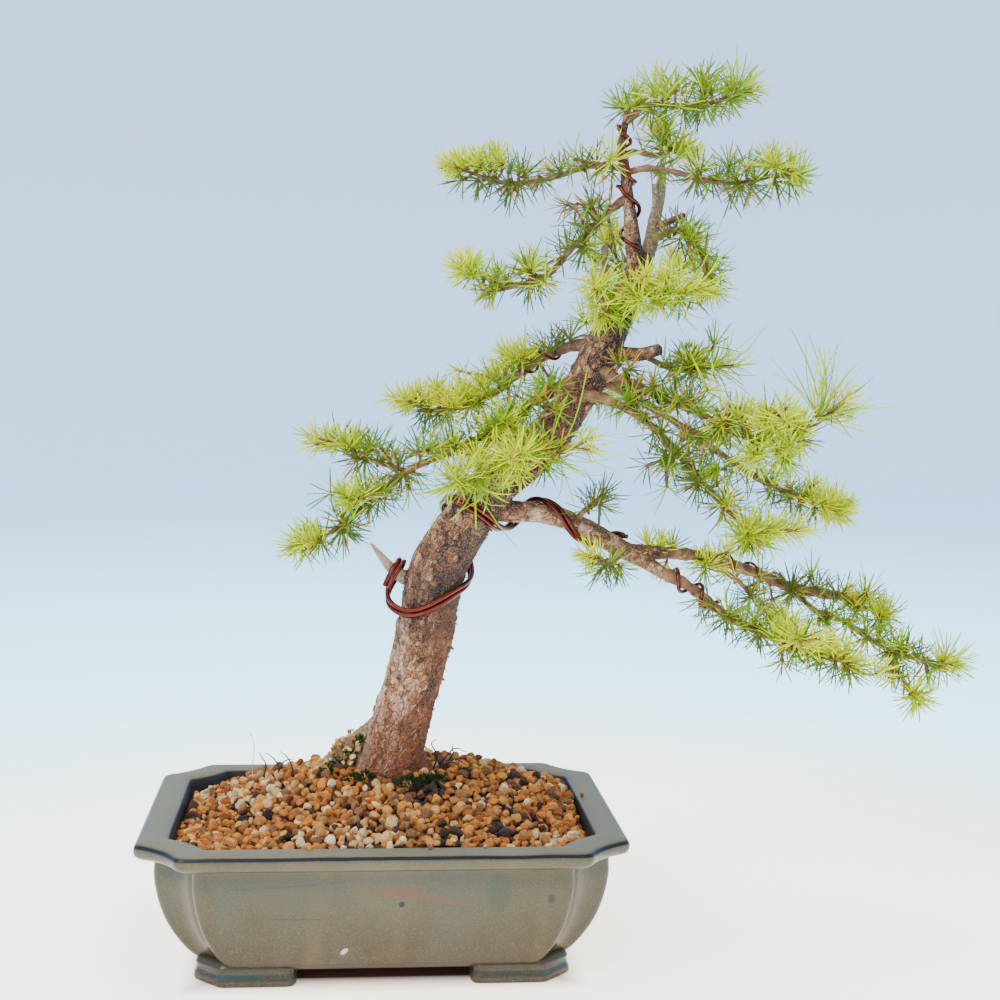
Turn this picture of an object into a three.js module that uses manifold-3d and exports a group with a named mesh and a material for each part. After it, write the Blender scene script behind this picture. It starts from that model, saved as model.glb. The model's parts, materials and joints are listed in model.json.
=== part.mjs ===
// European larch bonsai, slanting style, wired, in a glazed pot with cut corners.
// Millimetres, +Z up. The tree is laid out from the centre of the pot's feet:
// +X runs along the pot's long side, to the side that the tree leans to, and -Y is the front.

import * as THREE from "three";
import { mergeVertices } from "three/addons/utils/BufferGeometryUtils.js";
import Module from "manifold-3d";

const wasm = await Module();
wasm.setup();

// Driving dimensions of the pot
const POT_LENGTH = 253;
const POT_DEPTH = 188;
const POT_HEIGHT = 71.5;
const CORNER_CUT = 23.5;
const CORNER_HOLLOW = 3;
const RIM_WIDTH = 15;
const END_RIM_WIDTH = 16.5;
const FOOT_HEIGHT = 9;
const FLOOR_THICKNESS = 6;
const DRAIN_RADIUS = 9;
const DRAIN_SPACING = 100;
const FOOT_FROM_END = 30;
const FOOT_FROM_SIDE = 12.5;
const FOOT_INNER_X = 44;
const FOOT_INNER_Y = 42;
const FOOT_BAND = 18;
const FOOT_CUT = 14;
const FOOT_SLANT = 3;

// Driving dimensions of what fills the pot
const GAP = 0.3;
const SCREEN_SIZE = 30;
const SCREEN_BAR = 3;
const SCREEN_THICKNESS = 1.2;
const GRANULE_SPACING = 11.6;
const GRANULE_HEIGHT = 4.6;
const GRANULE_JITTER = 0.24;
const SOIL_HALF_X = 112;
const SOIL_HALF_Y = 84;
const SOIL_EDGE = 65;
const SOIL_TOP = 89;
const MOUND = { x: 8, y: 28, side: 112, front: 120, back: 64 };
const MESH_TOLERANCE = 0.1;

// Driving dimensions of the tree
const TRUNK_SIDES = 13;
const TRUNK_STEP = 13;
const BARK_RELIEF = 0.05;
const HEAVY_WIRE = 1.3;
const HOOK_STEPS = 12;
const MEDIUM_WIRE = 1.1;
const THIN_WIRE = 0.8;

// Shoots: their size and spacing on a limb, and the bare wood that a limb begins with
const SHOOT_RADIUS = 0.95;
const SHOOT_SIDES = 4;
const SHOOT_SHORT = 6;
const SHOOT_LONG = 15;
const TIP_SHOOT = 9;
const SHOOT_SPACING = 19;
const SHOOT_CLEAR = 1.6;
const FORWARD_LEAN = 0.7;
const UPWARD_LEAN = 0.35;
const BARE_LIMB = 16;
const BARE_SIDE_LIMB = 8;

// Needles: lengths, clearances, and how far they lean to the tip of their shoot, in radians
const TUFT_STEP = 18;
const NEEDLE_SHORT = 13;
const NEEDLE_LONG = 19;
const NEEDLE_CLEAR = 1.1;
const WOOD_CLEAR = 1;
const NEEDLE_SPREAD = 0.5;
const NEEDLE_RISE = 0.12;
const SIDE_LIFTS = [0.15, 0.6];
const TIP_LIFT = 1.05;

const X = new THREE.Vector3(1, 0, 0);
const Y = new THREE.Vector3(0, 1, 0);
const Z = new THREE.Vector3(0, 0, 1);
const TURN = 2 * Math.PI;
const GOLDEN_ANGLE = TURN * 0.382;

// Seeded random numbers, the same on every run
function randomSource(seed) {
  let state = seed;
  return () => {
    state = (state + 0x6d2b79f5) | 0;
    let t = Math.imul(state ^ (state >>> 15), 1 | state);
    t = (t + Math.imul(t ^ (t >>> 7), 61 | t)) ^ t;
    return ((t ^ (t >>> 14)) >>> 0) / 4294967296;
  };
}

const lerp = THREE.MathUtils.lerp;
const vector = (p) => new THREE.Vector3(p[0], p[1], p[2]);

// Closed solids and meshes
function solidOf(vertices, triangles) {
  const vertProperties = new Float32Array(vertices.flatMap((v) => [v.x, v.y, v.z]));
  const triVerts = new Uint32Array(triangles.flat());
  return new wasm.Manifold(new wasm.Mesh({ numProp: 3, vertProperties, triVerts }));
}

function solidFrom(geometry) {
  geometry.deleteAttribute("normal");
  geometry.deleteAttribute("uv");
  const merged = mergeVertices(geometry, 1e-4);
  return new wasm.Manifold(
    new wasm.Mesh({
      numProp: 3,
      vertProperties: new Float32Array(merged.attributes.position.array),
      triVerts: new Uint32Array(merged.index.array),
    }),
  );
}

function largestPiece(solid) {
  return solid.decompose().reduce((a, b) => (b.volume() > a.volume() ? b : a));
}

function joined(solids) {
  return solids.reduce((a, b) => a.add(b));
}

function meshOf(name, solid, material) {
  const whole = largestPiece(solid.asOriginal().simplify(MESH_TOLERANCE));
  const { vertProperties, triVerts } = whole.getMesh();
  const geometry = new THREE.BufferGeometry();
  geometry.setAttribute("position", new THREE.BufferAttribute(new Float32Array(vertProperties), 3));
  geometry.setIndex(new THREE.BufferAttribute(new Uint32Array(triVerts), 1));
  const mesh = new THREE.Mesh(geometry, material);
  mesh.name = name;
  return mesh;
}

// Skin between rings of points, each ring counterclockwise seen from the ring after it.
// Each end is closed by a fan around its middle point.
function skin(rings, startMiddle, endMiddle) {
  const sides = rings[0].length;
  const vertices = rings.flat();
  const triangles = [];
  const at = (ring, j) => ring * sides + (j % sides);
  for (let i = 0; i + 1 < rings.length; i++) {
    for (let j = 0; j < sides; j++) {
      triangles.push([at(i, j), at(i, j + 1), at(i + 1, j + 1)]);
      triangles.push([at(i, j), at(i + 1, j + 1), at(i + 1, j)]);
    }
  }
  const start = vertices.push(startMiddle) - 1;
  const end = vertices.push(endMiddle) - 1;
  for (let j = 0; j < sides; j++) {
    triangles.push([start, at(0, j + 1), at(0, j)]);
    triangles.push([end, at(rings.length - 1, j), at(rings.length - 1, j + 1)]);
  }
  return { vertices, triangles };
}

// Pot outline at one height: an oblong whose corners are cut with a hollow curve
function potRing(halfX, halfY, cut, hollow, z) {
  const corner = [0, 0.25, 0.5, 0.75, 1].map((t) => {
    const inward = (hollow * 4 * t * (1 - t)) / Math.SQRT2;
    return [halfX - cut * t - inward, halfY - cut * (1 - t) - inward];
  });
  const reversed = [...corner].reverse();
  return [
    ...corner,
    ...reversed.map(([x, y]) => [-x, y]),
    ...corner.map(([x, y]) => [-x, -y]),
    ...reversed.map(([x, y]) => [x, -y]),
  ].map(([x, y]) => new THREE.Vector3(x, y, z));
}

// One row of the pot: how far in from the rim's outer edge it is at the ends and at the long sides,
// how hollow its corner is, and its height
function potRow([endInset, sideInset, hollow, z]) {
  const cut = CORNER_CUT - endInset * 0.2;
  return potRing(POT_LENGTH / 2 - endInset, POT_DEPTH / 2 - sideInset, cut, hollow, z);
}

const OUTER_ROWS = [
  [34, 15.5, 3, FOOT_HEIGHT - 0.5],
  [29, 13, 4, FOOT_HEIGHT + 2.5],
  [22, 11, 5, 19],
  [15.5, 10, 5.5, 29],
  [11.5, 9, 6, 40],
  [9.5, 8.3, 6, 51],
  [9, 8, 6, 61.5],
  [4, 3, 4, 62.5],
  [0.4, 0.4, CORNER_HOLLOW, 65],
  [0, 0, CORNER_HOLLOW, 68.5],
  [1.6, 1.6, CORNER_HOLLOW, 70.8],
  [4.5, 4.5, CORNER_HOLLOW, POT_HEIGHT],
];
const INNER_ROWS = [
  [-3, 2.5, POT_HEIGHT],
  [0, 2.5, POT_HEIGHT - 1.6],
  [1.5, 3, 61],
  [5, 3, 36],
  [15, 2, FOOT_HEIGHT + FLOOR_THICKNESS + 4],
  [20, 1, FOOT_HEIGHT + FLOOR_THICKNESS],
].map(([inset, hollow, z]) => [END_RIM_WIDTH + inset, RIM_WIDTH + inset, hollow, z]);
const FLOOR_TOP = FOOT_HEIGHT + FLOOR_THICKNESS;

function prism(outline, bottom, top) {
  const shape = new THREE.Shape(outline.map(([x, y]) => new THREE.Vector2(x, y)));
  const geometry = new THREE.ExtrudeGeometry(shape, { depth: top - bottom, bevelEnabled: false });
  geometry.translate(0, 0, bottom);
  return solidFrom(geometry);
}

function cylinder(radius, bottom, top, x, y, sides) {
  const geometry = new THREE.CylinderGeometry(radius, radius, top - bottom, sides);
  geometry.rotateX(Math.PI / 2);
  geometry.translate(x, y, (top + bottom) / 2);
  return solidFrom(geometry);
}

// Corner foot: a low block under each corner, with its outer corner cut like the pot's
function foot(signX, signY) {
  const endX = POT_LENGTH / 2 - FOOT_FROM_END;
  const sideY = POT_DEPTH / 2 - FOOT_FROM_SIDE;
  const outline = [
    [endX, sideY - FOOT_CUT],
    [endX - FOOT_CUT, sideY],
    [FOOT_INNER_X + FOOT_SLANT, sideY],
    [FOOT_INNER_X, sideY - FOOT_SLANT],
    [FOOT_INNER_X, sideY - FOOT_BAND],
    [endX - FOOT_BAND, FOOT_INNER_Y],
    [endX, FOOT_INNER_Y],
  ].map(([x, y]) => [x * signX, y * signY]);
  return prism(signX * signY > 0 ? outline : outline.reverse(), 0, FOOT_HEIGHT + FLOOR_THICKNESS / 2);
}

function makePot() {
  const rows = [...OUTER_ROWS, ...INNER_ROWS].map(potRow);
  const bowl = skin(rows, new THREE.Vector3(0, 0, OUTER_ROWS[0][2]), new THREE.Vector3(0, 0, FLOOR_TOP));
  let pot = solidOf(bowl.vertices, bowl.triangles);
  for (const signX of [-1, 1]) {
    for (const signY of [-1, 1]) {
      pot = pot.add(foot(signX, signY));
    }
  }
  for (const x of [-DRAIN_SPACING / 2, DRAIN_SPACING / 2]) {
    pot = pot.subtract(cylinder(DRAIN_RADIUS, 0, FLOOR_TOP + 2, x, 0, 14));
  }
  return pot;
}

// Drainage screen: bars crossing under the soil, over each hole in the floor
function makeScreen(x) {
  const bottom = FLOOR_TOP + GAP;
  const bars = [];
  const pitch = (SCREEN_SIZE - SCREEN_BAR) / 2;
  for (let i = 0; i < 3; i++) {
    const offset = -SCREEN_SIZE / 2 + SCREEN_BAR / 2 + i * pitch;
    const along = new THREE.BoxGeometry(SCREEN_SIZE, SCREEN_BAR, SCREEN_THICKNESS);
    along.translate(x, offset, bottom + SCREEN_THICKNESS / 2);
    const across = new THREE.BoxGeometry(SCREEN_BAR, SCREEN_SIZE, SCREEN_THICKNESS);
    across.translate(x + offset, 0, bottom + SCREEN_THICKNESS / 2);
    bars.push(solidFrom(along), solidFrom(across));
  }
  return joined(bars);
}

// Surface of the soil: a mound around the trunk that sinks towards the back and the sides
function soilHeight(x, y) {
  const edge = SOIL_EDGE + 3 * THREE.MathUtils.smoothstep(-y, 20, 75);
  const span = y < MOUND.y ? MOUND.front : MOUND.back;
  const away = Math.hypot((x - MOUND.x) / MOUND.side, (y - MOUND.y) / span);
  const fullness = lerp(1.3, 2.2, THREE.MathUtils.smoothstep(y, -30, MOUND.y));
  return edge + (SOIL_TOP - edge) * Math.max(0, 1 - away ** fullness);
}

// Soil: a body that fills the pot, its top covered by granules, one peak for each
function makeSoil(trunkHole) {
  const random = randomSource(11);
  const jitter = () => GRANULE_JITTER * (random() - 0.5);
  const rowStep = GRANULE_SPACING * Math.sin(Math.PI / 3);
  const columns = Math.round((2 * SOIL_HALF_X) / GRANULE_SPACING);
  const rowCount = Math.round((2 * SOIL_HALF_Y) / rowStep);
  const vertices = [];
  const triangles = [];
  const lattice = [];
  for (let row = 0; row <= rowCount; row++) {
    lattice.push([]);
    for (let column = 0; column <= columns; column++) {
      const x = -SOIL_HALF_X + GRANULE_SPACING * (column + (row % 2) / 2 + jitter());
      const y = -SOIL_HALF_Y + rowStep * (row + jitter());
      const vertex = new THREE.Vector3(x, y, soilHeight(x, y) - GRANULE_HEIGHT / 2);
      lattice[row].push(vertices.push(vertex) - 1);
    }
  }
  const peak = (a, b, c) => {
    const middle = new THREE.Vector3();
    [a, b, c].forEach((index) => middle.addScaledVector(vertices[index], 1 / 3));
    middle.x += GRANULE_SPACING * jitter();
    middle.y += GRANULE_SPACING * jitter();
    middle.z += GRANULE_HEIGHT * (0.6 + 0.8 * random());
    const top = vertices.push(middle) - 1;
    triangles.push([a, b, top], [b, c, top], [c, a, top]);
  };
  for (let row = 0; row < rowCount; row++) {
    const near = lattice[row];
    const far = lattice[row + 1];
    for (let column = 0; column < columns; column++) {
      if (row % 2) {
        peak(near[column], near[column + 1], far[column + 1]);
        triangles.push([near[column], far[column + 1], far[column]]);
      } else {
        peak(near[column], near[column + 1], far[column]);
        triangles.push([near[column + 1], far[column + 1], far[column]]);
      }
    }
  }
  const border = [];
  for (let column = 0; column < columns; column++) {
    border.push(lattice[0][column]);
  }
  for (let row = 0; row < rowCount; row++) {
    border.push(lattice[row][columns]);
  }
  for (let column = columns; column > 0; column--) {
    border.push(lattice[rowCount][column]);
  }
  for (let row = rowCount; row > 0; row--) {
    border.push(lattice[row][0]);
  }
  const base = border.map((index) => {
    const { x, y } = vertices[index];
    return vertices.push(new THREE.Vector3(x, y, 0)) - 1;
  });
  const middle = vertices.push(new THREE.Vector3(0, 0, 0)) - 1;
  border.forEach((topIndex, i) => {
    const next = (i + 1) % border.length;
    triangles.push([base[i], base[next], border[next]], [base[i], border[next], topIndex]);
    triangles.push([middle, base[next], base[i]]);
  });
  const heap = solidOf(vertices, triangles);

  const bottom = FLOOR_TOP + GAP + SCREEN_THICKNESS + GAP;
  const top = 2 * POT_HEIGHT;
  const wallGap = 1.5 * GAP;
  const inside = INNER_ROWS.slice(1, 4).reverse();
  const innerRow = ([endInset, sideInset, hollow], gap, z) =>
    potRow([endInset + gap, sideInset + gap, hollow, z]);
  const rows = [
    innerRow(INNER_ROWS[5], 0, bottom),
    ...inside.map((row) => innerRow(row, wallGap, row[3])),
    innerRow(INNER_ROWS[1], wallGap, top),
  ];
  const cavity = skin(rows, new THREE.Vector3(0, 0, bottom), new THREE.Vector3(0, 0, top));
  return heap.intersect(solidOf(cavity.vertices, cavity.triangles)).subtract(trunkHole);
}

// A limb: a curve through way points, with a radius at each of them
class Limb {
  constructor(wayPoints) {
    this.curve = new THREE.CatmullRomCurve3(wayPoints.map(vector), false, "centripetal");
    this.curve.arcLengthDivisions = 400;
    this.radii = wayPoints.map((p) => p[3]);
    this.length = this.curve.getLength();
  }

  radiusAt(u) {
    const place = this.curve.getUtoTmapping(Math.min(1, Math.max(0, u))) * (this.radii.length - 1);
    const index = Math.min(this.radii.length - 2, Math.floor(place));
    return lerp(this.radii[index], this.radii[index + 1], place - index);
  }

  pointAt(u) {
    return this.curve.getPointAt(Math.min(1, Math.max(0, u)));
  }

  tangentAt(u) {
    return this.curve.getTangentAt(Math.min(1, Math.max(0, u)));
  }

  // Solid of the limb, its rings a step apart, grown by a margin all round
  solid({ sides, step, relief = 0, margin = 0 }) {
    const count = Math.max(2, Math.round(this.length / step));
    const frames = this.curve.computeFrenetFrames(count, false);
    const rings = [];
    for (let i = 0; i <= count; i++) {
      const middle = this.pointAt(i / count);
      if (i === 0 || i === count) {
        middle.addScaledVector(frames.tangents[i], i === 0 ? -margin : margin);
      }
      const ring = [];
      for (let j = 0; j < sides; j++) {
        const angle = (TURN * j) / sides;
        const radius = this.radiusAt(i / count) * (1 + relief * bark(i, j, angle)) + margin;
        ring.push(
          middle
            .clone()
            .addScaledVector(frames.normals[i], radius * Math.cos(angle))
            .addScaledVector(frames.binormals[i], radius * Math.sin(angle)),
        );
      }
      rings.push(ring);
    }
    const start = this.pointAt(0).addScaledVector(frames.tangents[0], -margin);
    const end = this.pointAt(1).addScaledVector(frames.tangents[count], margin);
    const { vertices, triangles } = skin(rings, start, end);
    return solidOf(vertices, triangles);
  }

  // Short straight stretches of the limb, for keeping other pieces clear of it
  stretches(step, owner) {
    const count = Math.max(2, Math.round(this.length / step));
    const list = [];
    for (let i = 0; i < count; i++) {
      const radius = Math.max(this.radiusAt(i / count), this.radiusAt((i + 1) / count));
      list.push({ a: this.pointAt(i / count), b: this.pointAt((i + 1) / count), radius, owner });
    }
    return list;
  }
}

// Ridges and flakes of the bark, between -1 and 1
function bark(i, j, angle) {
  const ridge = Math.sin(3 * angle + 0.45 * i) + 0.8 * Math.sin(5 * angle - 0.7 * i);
  const flake = Math.sin(12.9898 * i + 78.233 * j) * 0.9;
  return THREE.MathUtils.clamp((ridge + flake) / 2, -1, 1);
}

// Way points of the wood: x, y, z and radius
const TRUNK = new Limb([
  [2, 16, 40, 14],
  [3, 16, 70, 17],
  [4, 15, 86, 20],
  [6, 14, 98, 17.8],
  [12, 12, 122, 16],
  [19, 10, 146, 15.8],
  [24, 8, 172, 16.2],
  [28, 6, 200, 15.7],
  [45, 5, 230, 14],
  [58, 5, 247, 13],
  [87, 6, 273, 11.8],
  [103, 6, 295, 10.6],
  [115, 5, 318, 10.8],
  [126, 4, 344, 9.6],
  [137, 3, 370, 6.8],
]);
const BOUGH = new Limb([
  [56, 5, 235, 7],
  [71, 8, 233.5, 6],
  [84, 8, 233, 5.7],
  [99, 8, 229.5, 5.7],
  [114, 6, 223, 5.6],
  [131, 4, 213.5, 5.4],
  [143, 2, 209.5, 5.2],
]);
const LEFT_LEADER = new Limb([
  [136, 3, 364, 5.5],
  [132, 0, 384, 4.6],
  [130, 0, 399, 3.6],
  [127, 1, 420, 3],
  [125, 2, 435, 2.7],
  [128, 3, 450, 2.1],
]);
const RIGHT_LEADER = new Limb([
  [137, 4, 366, 5.2],
  [143, 8, 380, 4.2],
  [146, 10, 396, 3.6],
  [149, 10, 410, 2.8],
  [149, 9, 424, 2],
]);
const FORKS = [
  [[136, 4, 212, 4.8], [150, 5, 211.5, 4.1], [159, 8, 211, 3.5]],
  [[136, 2, 211, 4.8], [146, -4, 205.5, 4], [153, -8, 201, 3.4]],
].map((points) => new Limb(points));
const ROOTS = [
  [[5, 15, 114, 9], [-8, 17, 103, 9], [-21, 18, 93, 8], [-36, 17, 79, 5]],
  [[8, 15, 100, 10], [19, 12, 90, 8], [27, 9, 76, 5]],
].map((points) => new Limb(points));
const STUBS = [
  [[20, 8, 192, 5], [6, 4, 200, 3.6], [-8, -6, 217, 0.9]],
  [[121, 3, 330, 5], [117, -5, 350, 2.8], [116, -6, 379, 2.2]],
  [[145, 9, 390, 2.4], [160, -2, 397, 1.7]],
  [[147, 10, 398, 2.6], [145, 8, 414, 1.8]],
  [[118, 2, 322, 5], [136, -8, 321, 3.8], [146, -15, 324, 3.4]],
].map((points) => new Limb(points));

function makeTrunk(margin) {
  const relief = BARK_RELIEF;
  const solids = [
    TRUNK.solid({ sides: TRUNK_SIDES, step: TRUNK_STEP, relief, margin }),
    BOUGH.solid({ sides: 9, step: 7.5, relief, margin }),
    LEFT_LEADER.solid({ sides: 7, step: 12, relief, margin }),
    RIGHT_LEADER.solid({ sides: 6, step: 14, relief, margin }),
    ...FORKS.map((fork) => fork.solid({ sides: 7, step: 12, margin })),
    ...ROOTS.map((root) => root.solid({ sides: 7, step: 14, relief, margin })),
    ...STUBS.map((stub) => stub.solid({ sides: 6, step: 20, margin })),
  ];
  return joined(solids);
}
const TRUNK_LIMBS = [TRUNK, BOUGH, ...FORKS, LEFT_LEADER, RIGHT_LEADER, ...ROOTS, ...STUBS];

// Wood of each leafy branch: one or more limbs in its node
const BRANCHES = {
  spray_apex: [[[128, 3, 446, 2], [138, 0, 455, 1.7], [151, -6, 454, 1.5], [167, -10, 455, 1.3],
    [186, -16, 460, 1]]],
  spray_apex_back: [[[127, 2, 428, 2.4], [133, 7, 431, 1.5], [146, 15, 430, 1.3], [158, 24, 435, 1]]],
  spray_top_right: [[[128, 2, 419, 2], [138, -4, 421, 1.8], [152, -8, 419, 1.6], [167, -12, 415, 1.5],
    [182, -16, 413, 1.3], [204, -24, 417, 1]]],
  spray_top_left: [[[127, 2, 421, 2], [111, 6, 423, 1.8], [97, 11, 419, 1.6], [83, 16, 415, 1.5],
    [62, 21, 414, 1.3], [46, 25, 419, 1]]],
  spray_second_left: [
    [[128, 0, 406, 2.2], [116, -6, 395, 1.9], [97, -15, 377, 1.8], [86, -21, 364, 1.6], [74, -26, 358, 1.4],
      [58, -31, 353, 1]],
    [[66, -29, 355, 1.2], [54, -33, 357, 1.1], [42, -38, 362, 0.9]],
  ],
  spray_right_droop: [[[144, 7, 384, 3], [155, 1, 389, 1.7], [163, -4, 386, 1.5], [169, -12, 372, 1]]],
  spray_front_high: [
    [[128, 0, 352, 4], [131, -12, 356, 1.8], [133, -26, 360, 1.1]],
    [[131, -12, 356, 1.4], [146, -22, 354, 1.2], [163, -28, 354, 1]],
  ],
  spray_front_left: [[[122, 0, 340, 4], [116, -12, 345, 1.6], [110, -24, 352, 1]]],
  spray_back_high: [[[130, 8, 352, 4], [136, 24, 357, 1.8], [144, 44, 359, 1.4], [150, 60, 363, 1]]],
  spray_mid_left: [
    [[112, 7, 327, 4], [93, 17, 322, 2.8], [73, 27, 308, 2.3], [61, 31, 298, 2], [43, 35, 290, 1.7],
      [28, 38, 288, 1.4], [12, 40, 292, 1]],
    [[73, 27, 308, 1.4], [62, 42, 306, 1.2], [48, 54, 309, 0.9]],
  ],
  spray_low_left: [
    [[103, 2, 306, 4], [94, -7, 302, 3], [78, -14, 295, 2.6], [65, -20, 283, 2.4], [37, -28, 270, 2],
      [8, -38, 257, 1.7], [-14, -45, 239, 1.4], [-36, -51, 222, 1]],
    [[11, -37, 258, 1.4], [-8, -30, 263, 1.2], [-22, -24, 270, 1], [-34, -19, 273, 0.9]],
    [[-3, -42, 250, 1.3], [-13, -52, 247, 1.1], [-24, -60, 248, 0.9]],
    [[37, -28, 270, 1.4], [28, -42, 272, 1.1], [18, -54, 270, 0.9]],
  ],
  spray_front_low: [
    [[90, 2, 274, 4], [84, -13, 271, 2], [76, -28, 269, 1.6], [66, -46, 267, 1]],
    [[78, -25, 269, 1.4], [64, -32, 263, 1.2], [48, -42, 257, 1.1], [36, -50, 253, 0.9]],
    [[82, -16, 270, 1.3], [92, -28, 271, 1.1], [100, -40, 271, 0.9]],
  ],
  spray_back_low: [[[84, 8, 270, 4], [82, 26, 272, 2], [76, 44, 272, 1.5], [66, 62, 275, 1]]],
  spray_back_mid: [
    [[108, 8, 303, 4], [112, 26, 303, 2.2], [118, 44, 298, 1.7], [128, 62, 297, 1]],
    [[116, 40, 299, 1.4], [104, 52, 300, 1.1], [94, 62, 303, 0.9]],
  ],
  spray_right_stub: [[[138, -8, 321, 2], [152, -8, 314, 1.4], [166, -16, 313, 1.2], [178, -22, 315, 1]]],
  spray_right_high: [
    [[114, 3, 313, 4], [126, -14, 307, 2.8], [144, -24, 299, 2.4], [165, -34, 290, 2.1], [186, -42, 279, 1.7],
      [202, -46, 277, 1.4], [218, -51, 283, 1.2], [231, -53, 294, 1]],
    [[184, -41, 280, 1.3], [190, -54, 286, 1.1], [198, -64, 292, 0.9]],
  ],
  spray_right_low: [
    [[106, 2, 299, 4], [118, -18, 296, 2.8], [134, -24, 288, 2.3], [150, -28, 273, 2], [172, -34, 248, 1.6],
      [190, -39, 229, 1]],
    [[152, -28, 271, 1.3], [146, -40, 262, 1.1], [144, -52, 256, 0.9]],
  ],
  spray_right_rear: [
    [[112, 5, 309, 4], [132, 6, 300, 2.4], [160, 8, 284, 2], [186, 8, 267, 1.7], [216, 12, 249, 1.4],
      [247, 16, 241, 1]],
    [[168, 8, 279, 1.4], [182, 20, 277, 1.2], [198, 30, 280, 0.9]],
  ],
  spray_bough_over: [[[104, 7, 227, 3], [110, 1, 236, 1.1], [114, -5, 241, 0.9]]],
  spray_bough_under: [[[130, 3, 214, 3], [122, -11, 207, 1.4], [112, -21, 211, 0.9]]],
  spray_arm_upper: [
    [[156, 7, 211, 3.5], [177, 13, 209, 3.3], [198, 19, 203, 3.2], [217, 23, 196, 3.1],
      [235, 26, 189, 3], [258, 28, 185, 2.9], [278, 30, 182, 2.7]],
    [[233, 25, 190, 1.8], [246, 12, 177, 1.7], [259, 5, 173, 1.6], [271, 0, 165, 1.4], [283, -6, 158, 1.3],
      [299, -12, 154, 1.1], [308, -15, 153, 0.9]],
    [[281, -5, 159, 1.2], [290, 2, 145, 1], [301, 7, 133, 0.9]],
    [[262, 28, 184, 1.5], [272, 23, 180, 1.2], [283, 20, 177, 0.9]],
    [[182, 14, 208, 2], [190, 24, 201, 1.7], [203, 34, 193, 1.4], [216, 46, 182, 1.2], [226, 54, 174, 0.9]],
  ],
  spray_arm_lower: [
    [[151, -7, 202.5, 3.4], [166, -13, 195, 3.1], [176, -16, 187, 2.8], [188, -20, 179, 2.4],
      [203, -26, 172, 2.1], [226, -34, 163, 1.7], [248, -40, 158, 1.2]],
    [[203, -26, 172, 1.4], [214, -42, 170, 1.1], [222, -54, 173, 0.9]],
  ],
};

const SPRAYS = Object.entries(BRANCHES).map(([name, limbs]) => ({
  name,
  limbs: limbs.map((points) => new Limb(points)),
}));
const limbOf = (name) => SPRAYS.find((spray) => spray.name === name).limbs[0];

// Training wires. A place on a limb is a length along it and an angle round it:
// 0 is its lower or right side, 90 the back, 180 its upper or left side, 270 the front.
function placeOn(limb, along, angle, out) {
  const u = along / limb.length;
  const tangent = limb.tangentAt(u);
  const side = Y.clone().cross(tangent).normalize();
  const back = tangent.clone().cross(side);
  const radians = THREE.MathUtils.degToRad(angle);
  return limb
    .pointAt(u)
    .addScaledVector(side, out * Math.cos(radians))
    .addScaledVector(back, out * Math.sin(radians));
}

// Coil on a limb through a list of places, smooth along and round it. A third value in a place
// lifts the wire off the bark, where it crosses over another turn.
function coil(limb, wireRadius, places, angleStep) {
  const stations = places.map(([along, angle, lift = 0]) => vector([along, angle, lift]));
  const course = new THREE.CatmullRomCurve3(stations, false, "catmullrom");
  const slack = Math.cos(THREE.MathUtils.degToRad(angleStep / 2));
  const steps = [0];
  for (let i = 0; i + 1 < places.length; i++) {
    const count = Math.max(1, Math.round(Math.abs(places[i + 1][1] - places[i][1]) / angleStep));
    for (let k = 1; k <= count; k++) {
      steps.push((i + k / count) / (places.length - 1));
    }
  }
  const place = (step) => {
    const { x: along, y: angle, z: lift } = course.getPoint(step);
    const surface = limb.radiusAt(along / limb.length) * (1 + BARK_RELIEF);
    return placeOn(limb, along, angle, (surface + wireRadius + GAP) / slack + lift);
  };
  return steps.map((step) => {
    const point = place(step);
    const outward = point.clone().sub(limb.pointAt(course.getPoint(step).x / limb.length)).normalize();
    return { point, outward };
  });
}

// Route of a wire that runs beside a coil, moved sideways over the bark by a shift
function beside(track, shift) {
  return track.map(({ point, outward }, i) => {
    const before = track[Math.max(0, i - 1)].point;
    const after = track[Math.min(track.length - 1, i + 1)].point;
    const sideways = after.clone().sub(before).cross(outward).normalize();
    return point.clone().addScaledVector(sideways, shift);
  });
}

// Wire as a solid that bends at each of its points
function wireSolid(points, radius, sides) {
  let normal = X;
  const outlines = points.map((point, i) => {
    const before = points[Math.max(0, i - 1)];
    const after = points[Math.min(points.length - 1, i + 1)];
    const tangent = after.clone().sub(before).normalize();
    normal = normal.clone().addScaledVector(tangent, -normal.dot(tangent)).normalize();
    const binormal = tangent.clone().cross(normal);
    const ring = [];
    for (let j = 0; j < sides; j++) {
      const angle = (TURN * j) / sides;
      ring.push(
        point
          .clone()
          .addScaledVector(normal, radius * Math.cos(angle))
          .addScaledVector(binormal, radius * Math.sin(angle)),
      );
    }
    return ring;
  });
  const { vertices, triangles } = skin(outlines, points[0].clone(), points[points.length - 1].clone());
  return solidOf(vertices, triangles);
}

// Hooked end of the heavy wires, round the dead stub on the trunk's left side: points of the
// route, and the way out from the stub or the trunk at each of them
const HOOK = [
  [[0.9, -4, 193], [-0.6, -0.8, 0]],
  [[3, -3.2, 197.5], [-0.35, -0.93, -0.1]],
  [[6, -2.4, 202.9], [-0.1, -0.85, 0.5]],
  [[8.6, 1.4, 206.1], [0.3, -0.4, 0.87]],
  [[9.6, 5.6, 206.3], [0.4, 0.3, 0.87]],
  [[8, 9.6, 202], [0.2, 0.9, 0.4]],
  [[5.5, 10.8, 196], [-0.5, 0.85, 0]],
  [[1.8, 6, 189], [-0.95, 0.3, 0]],
];

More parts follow.
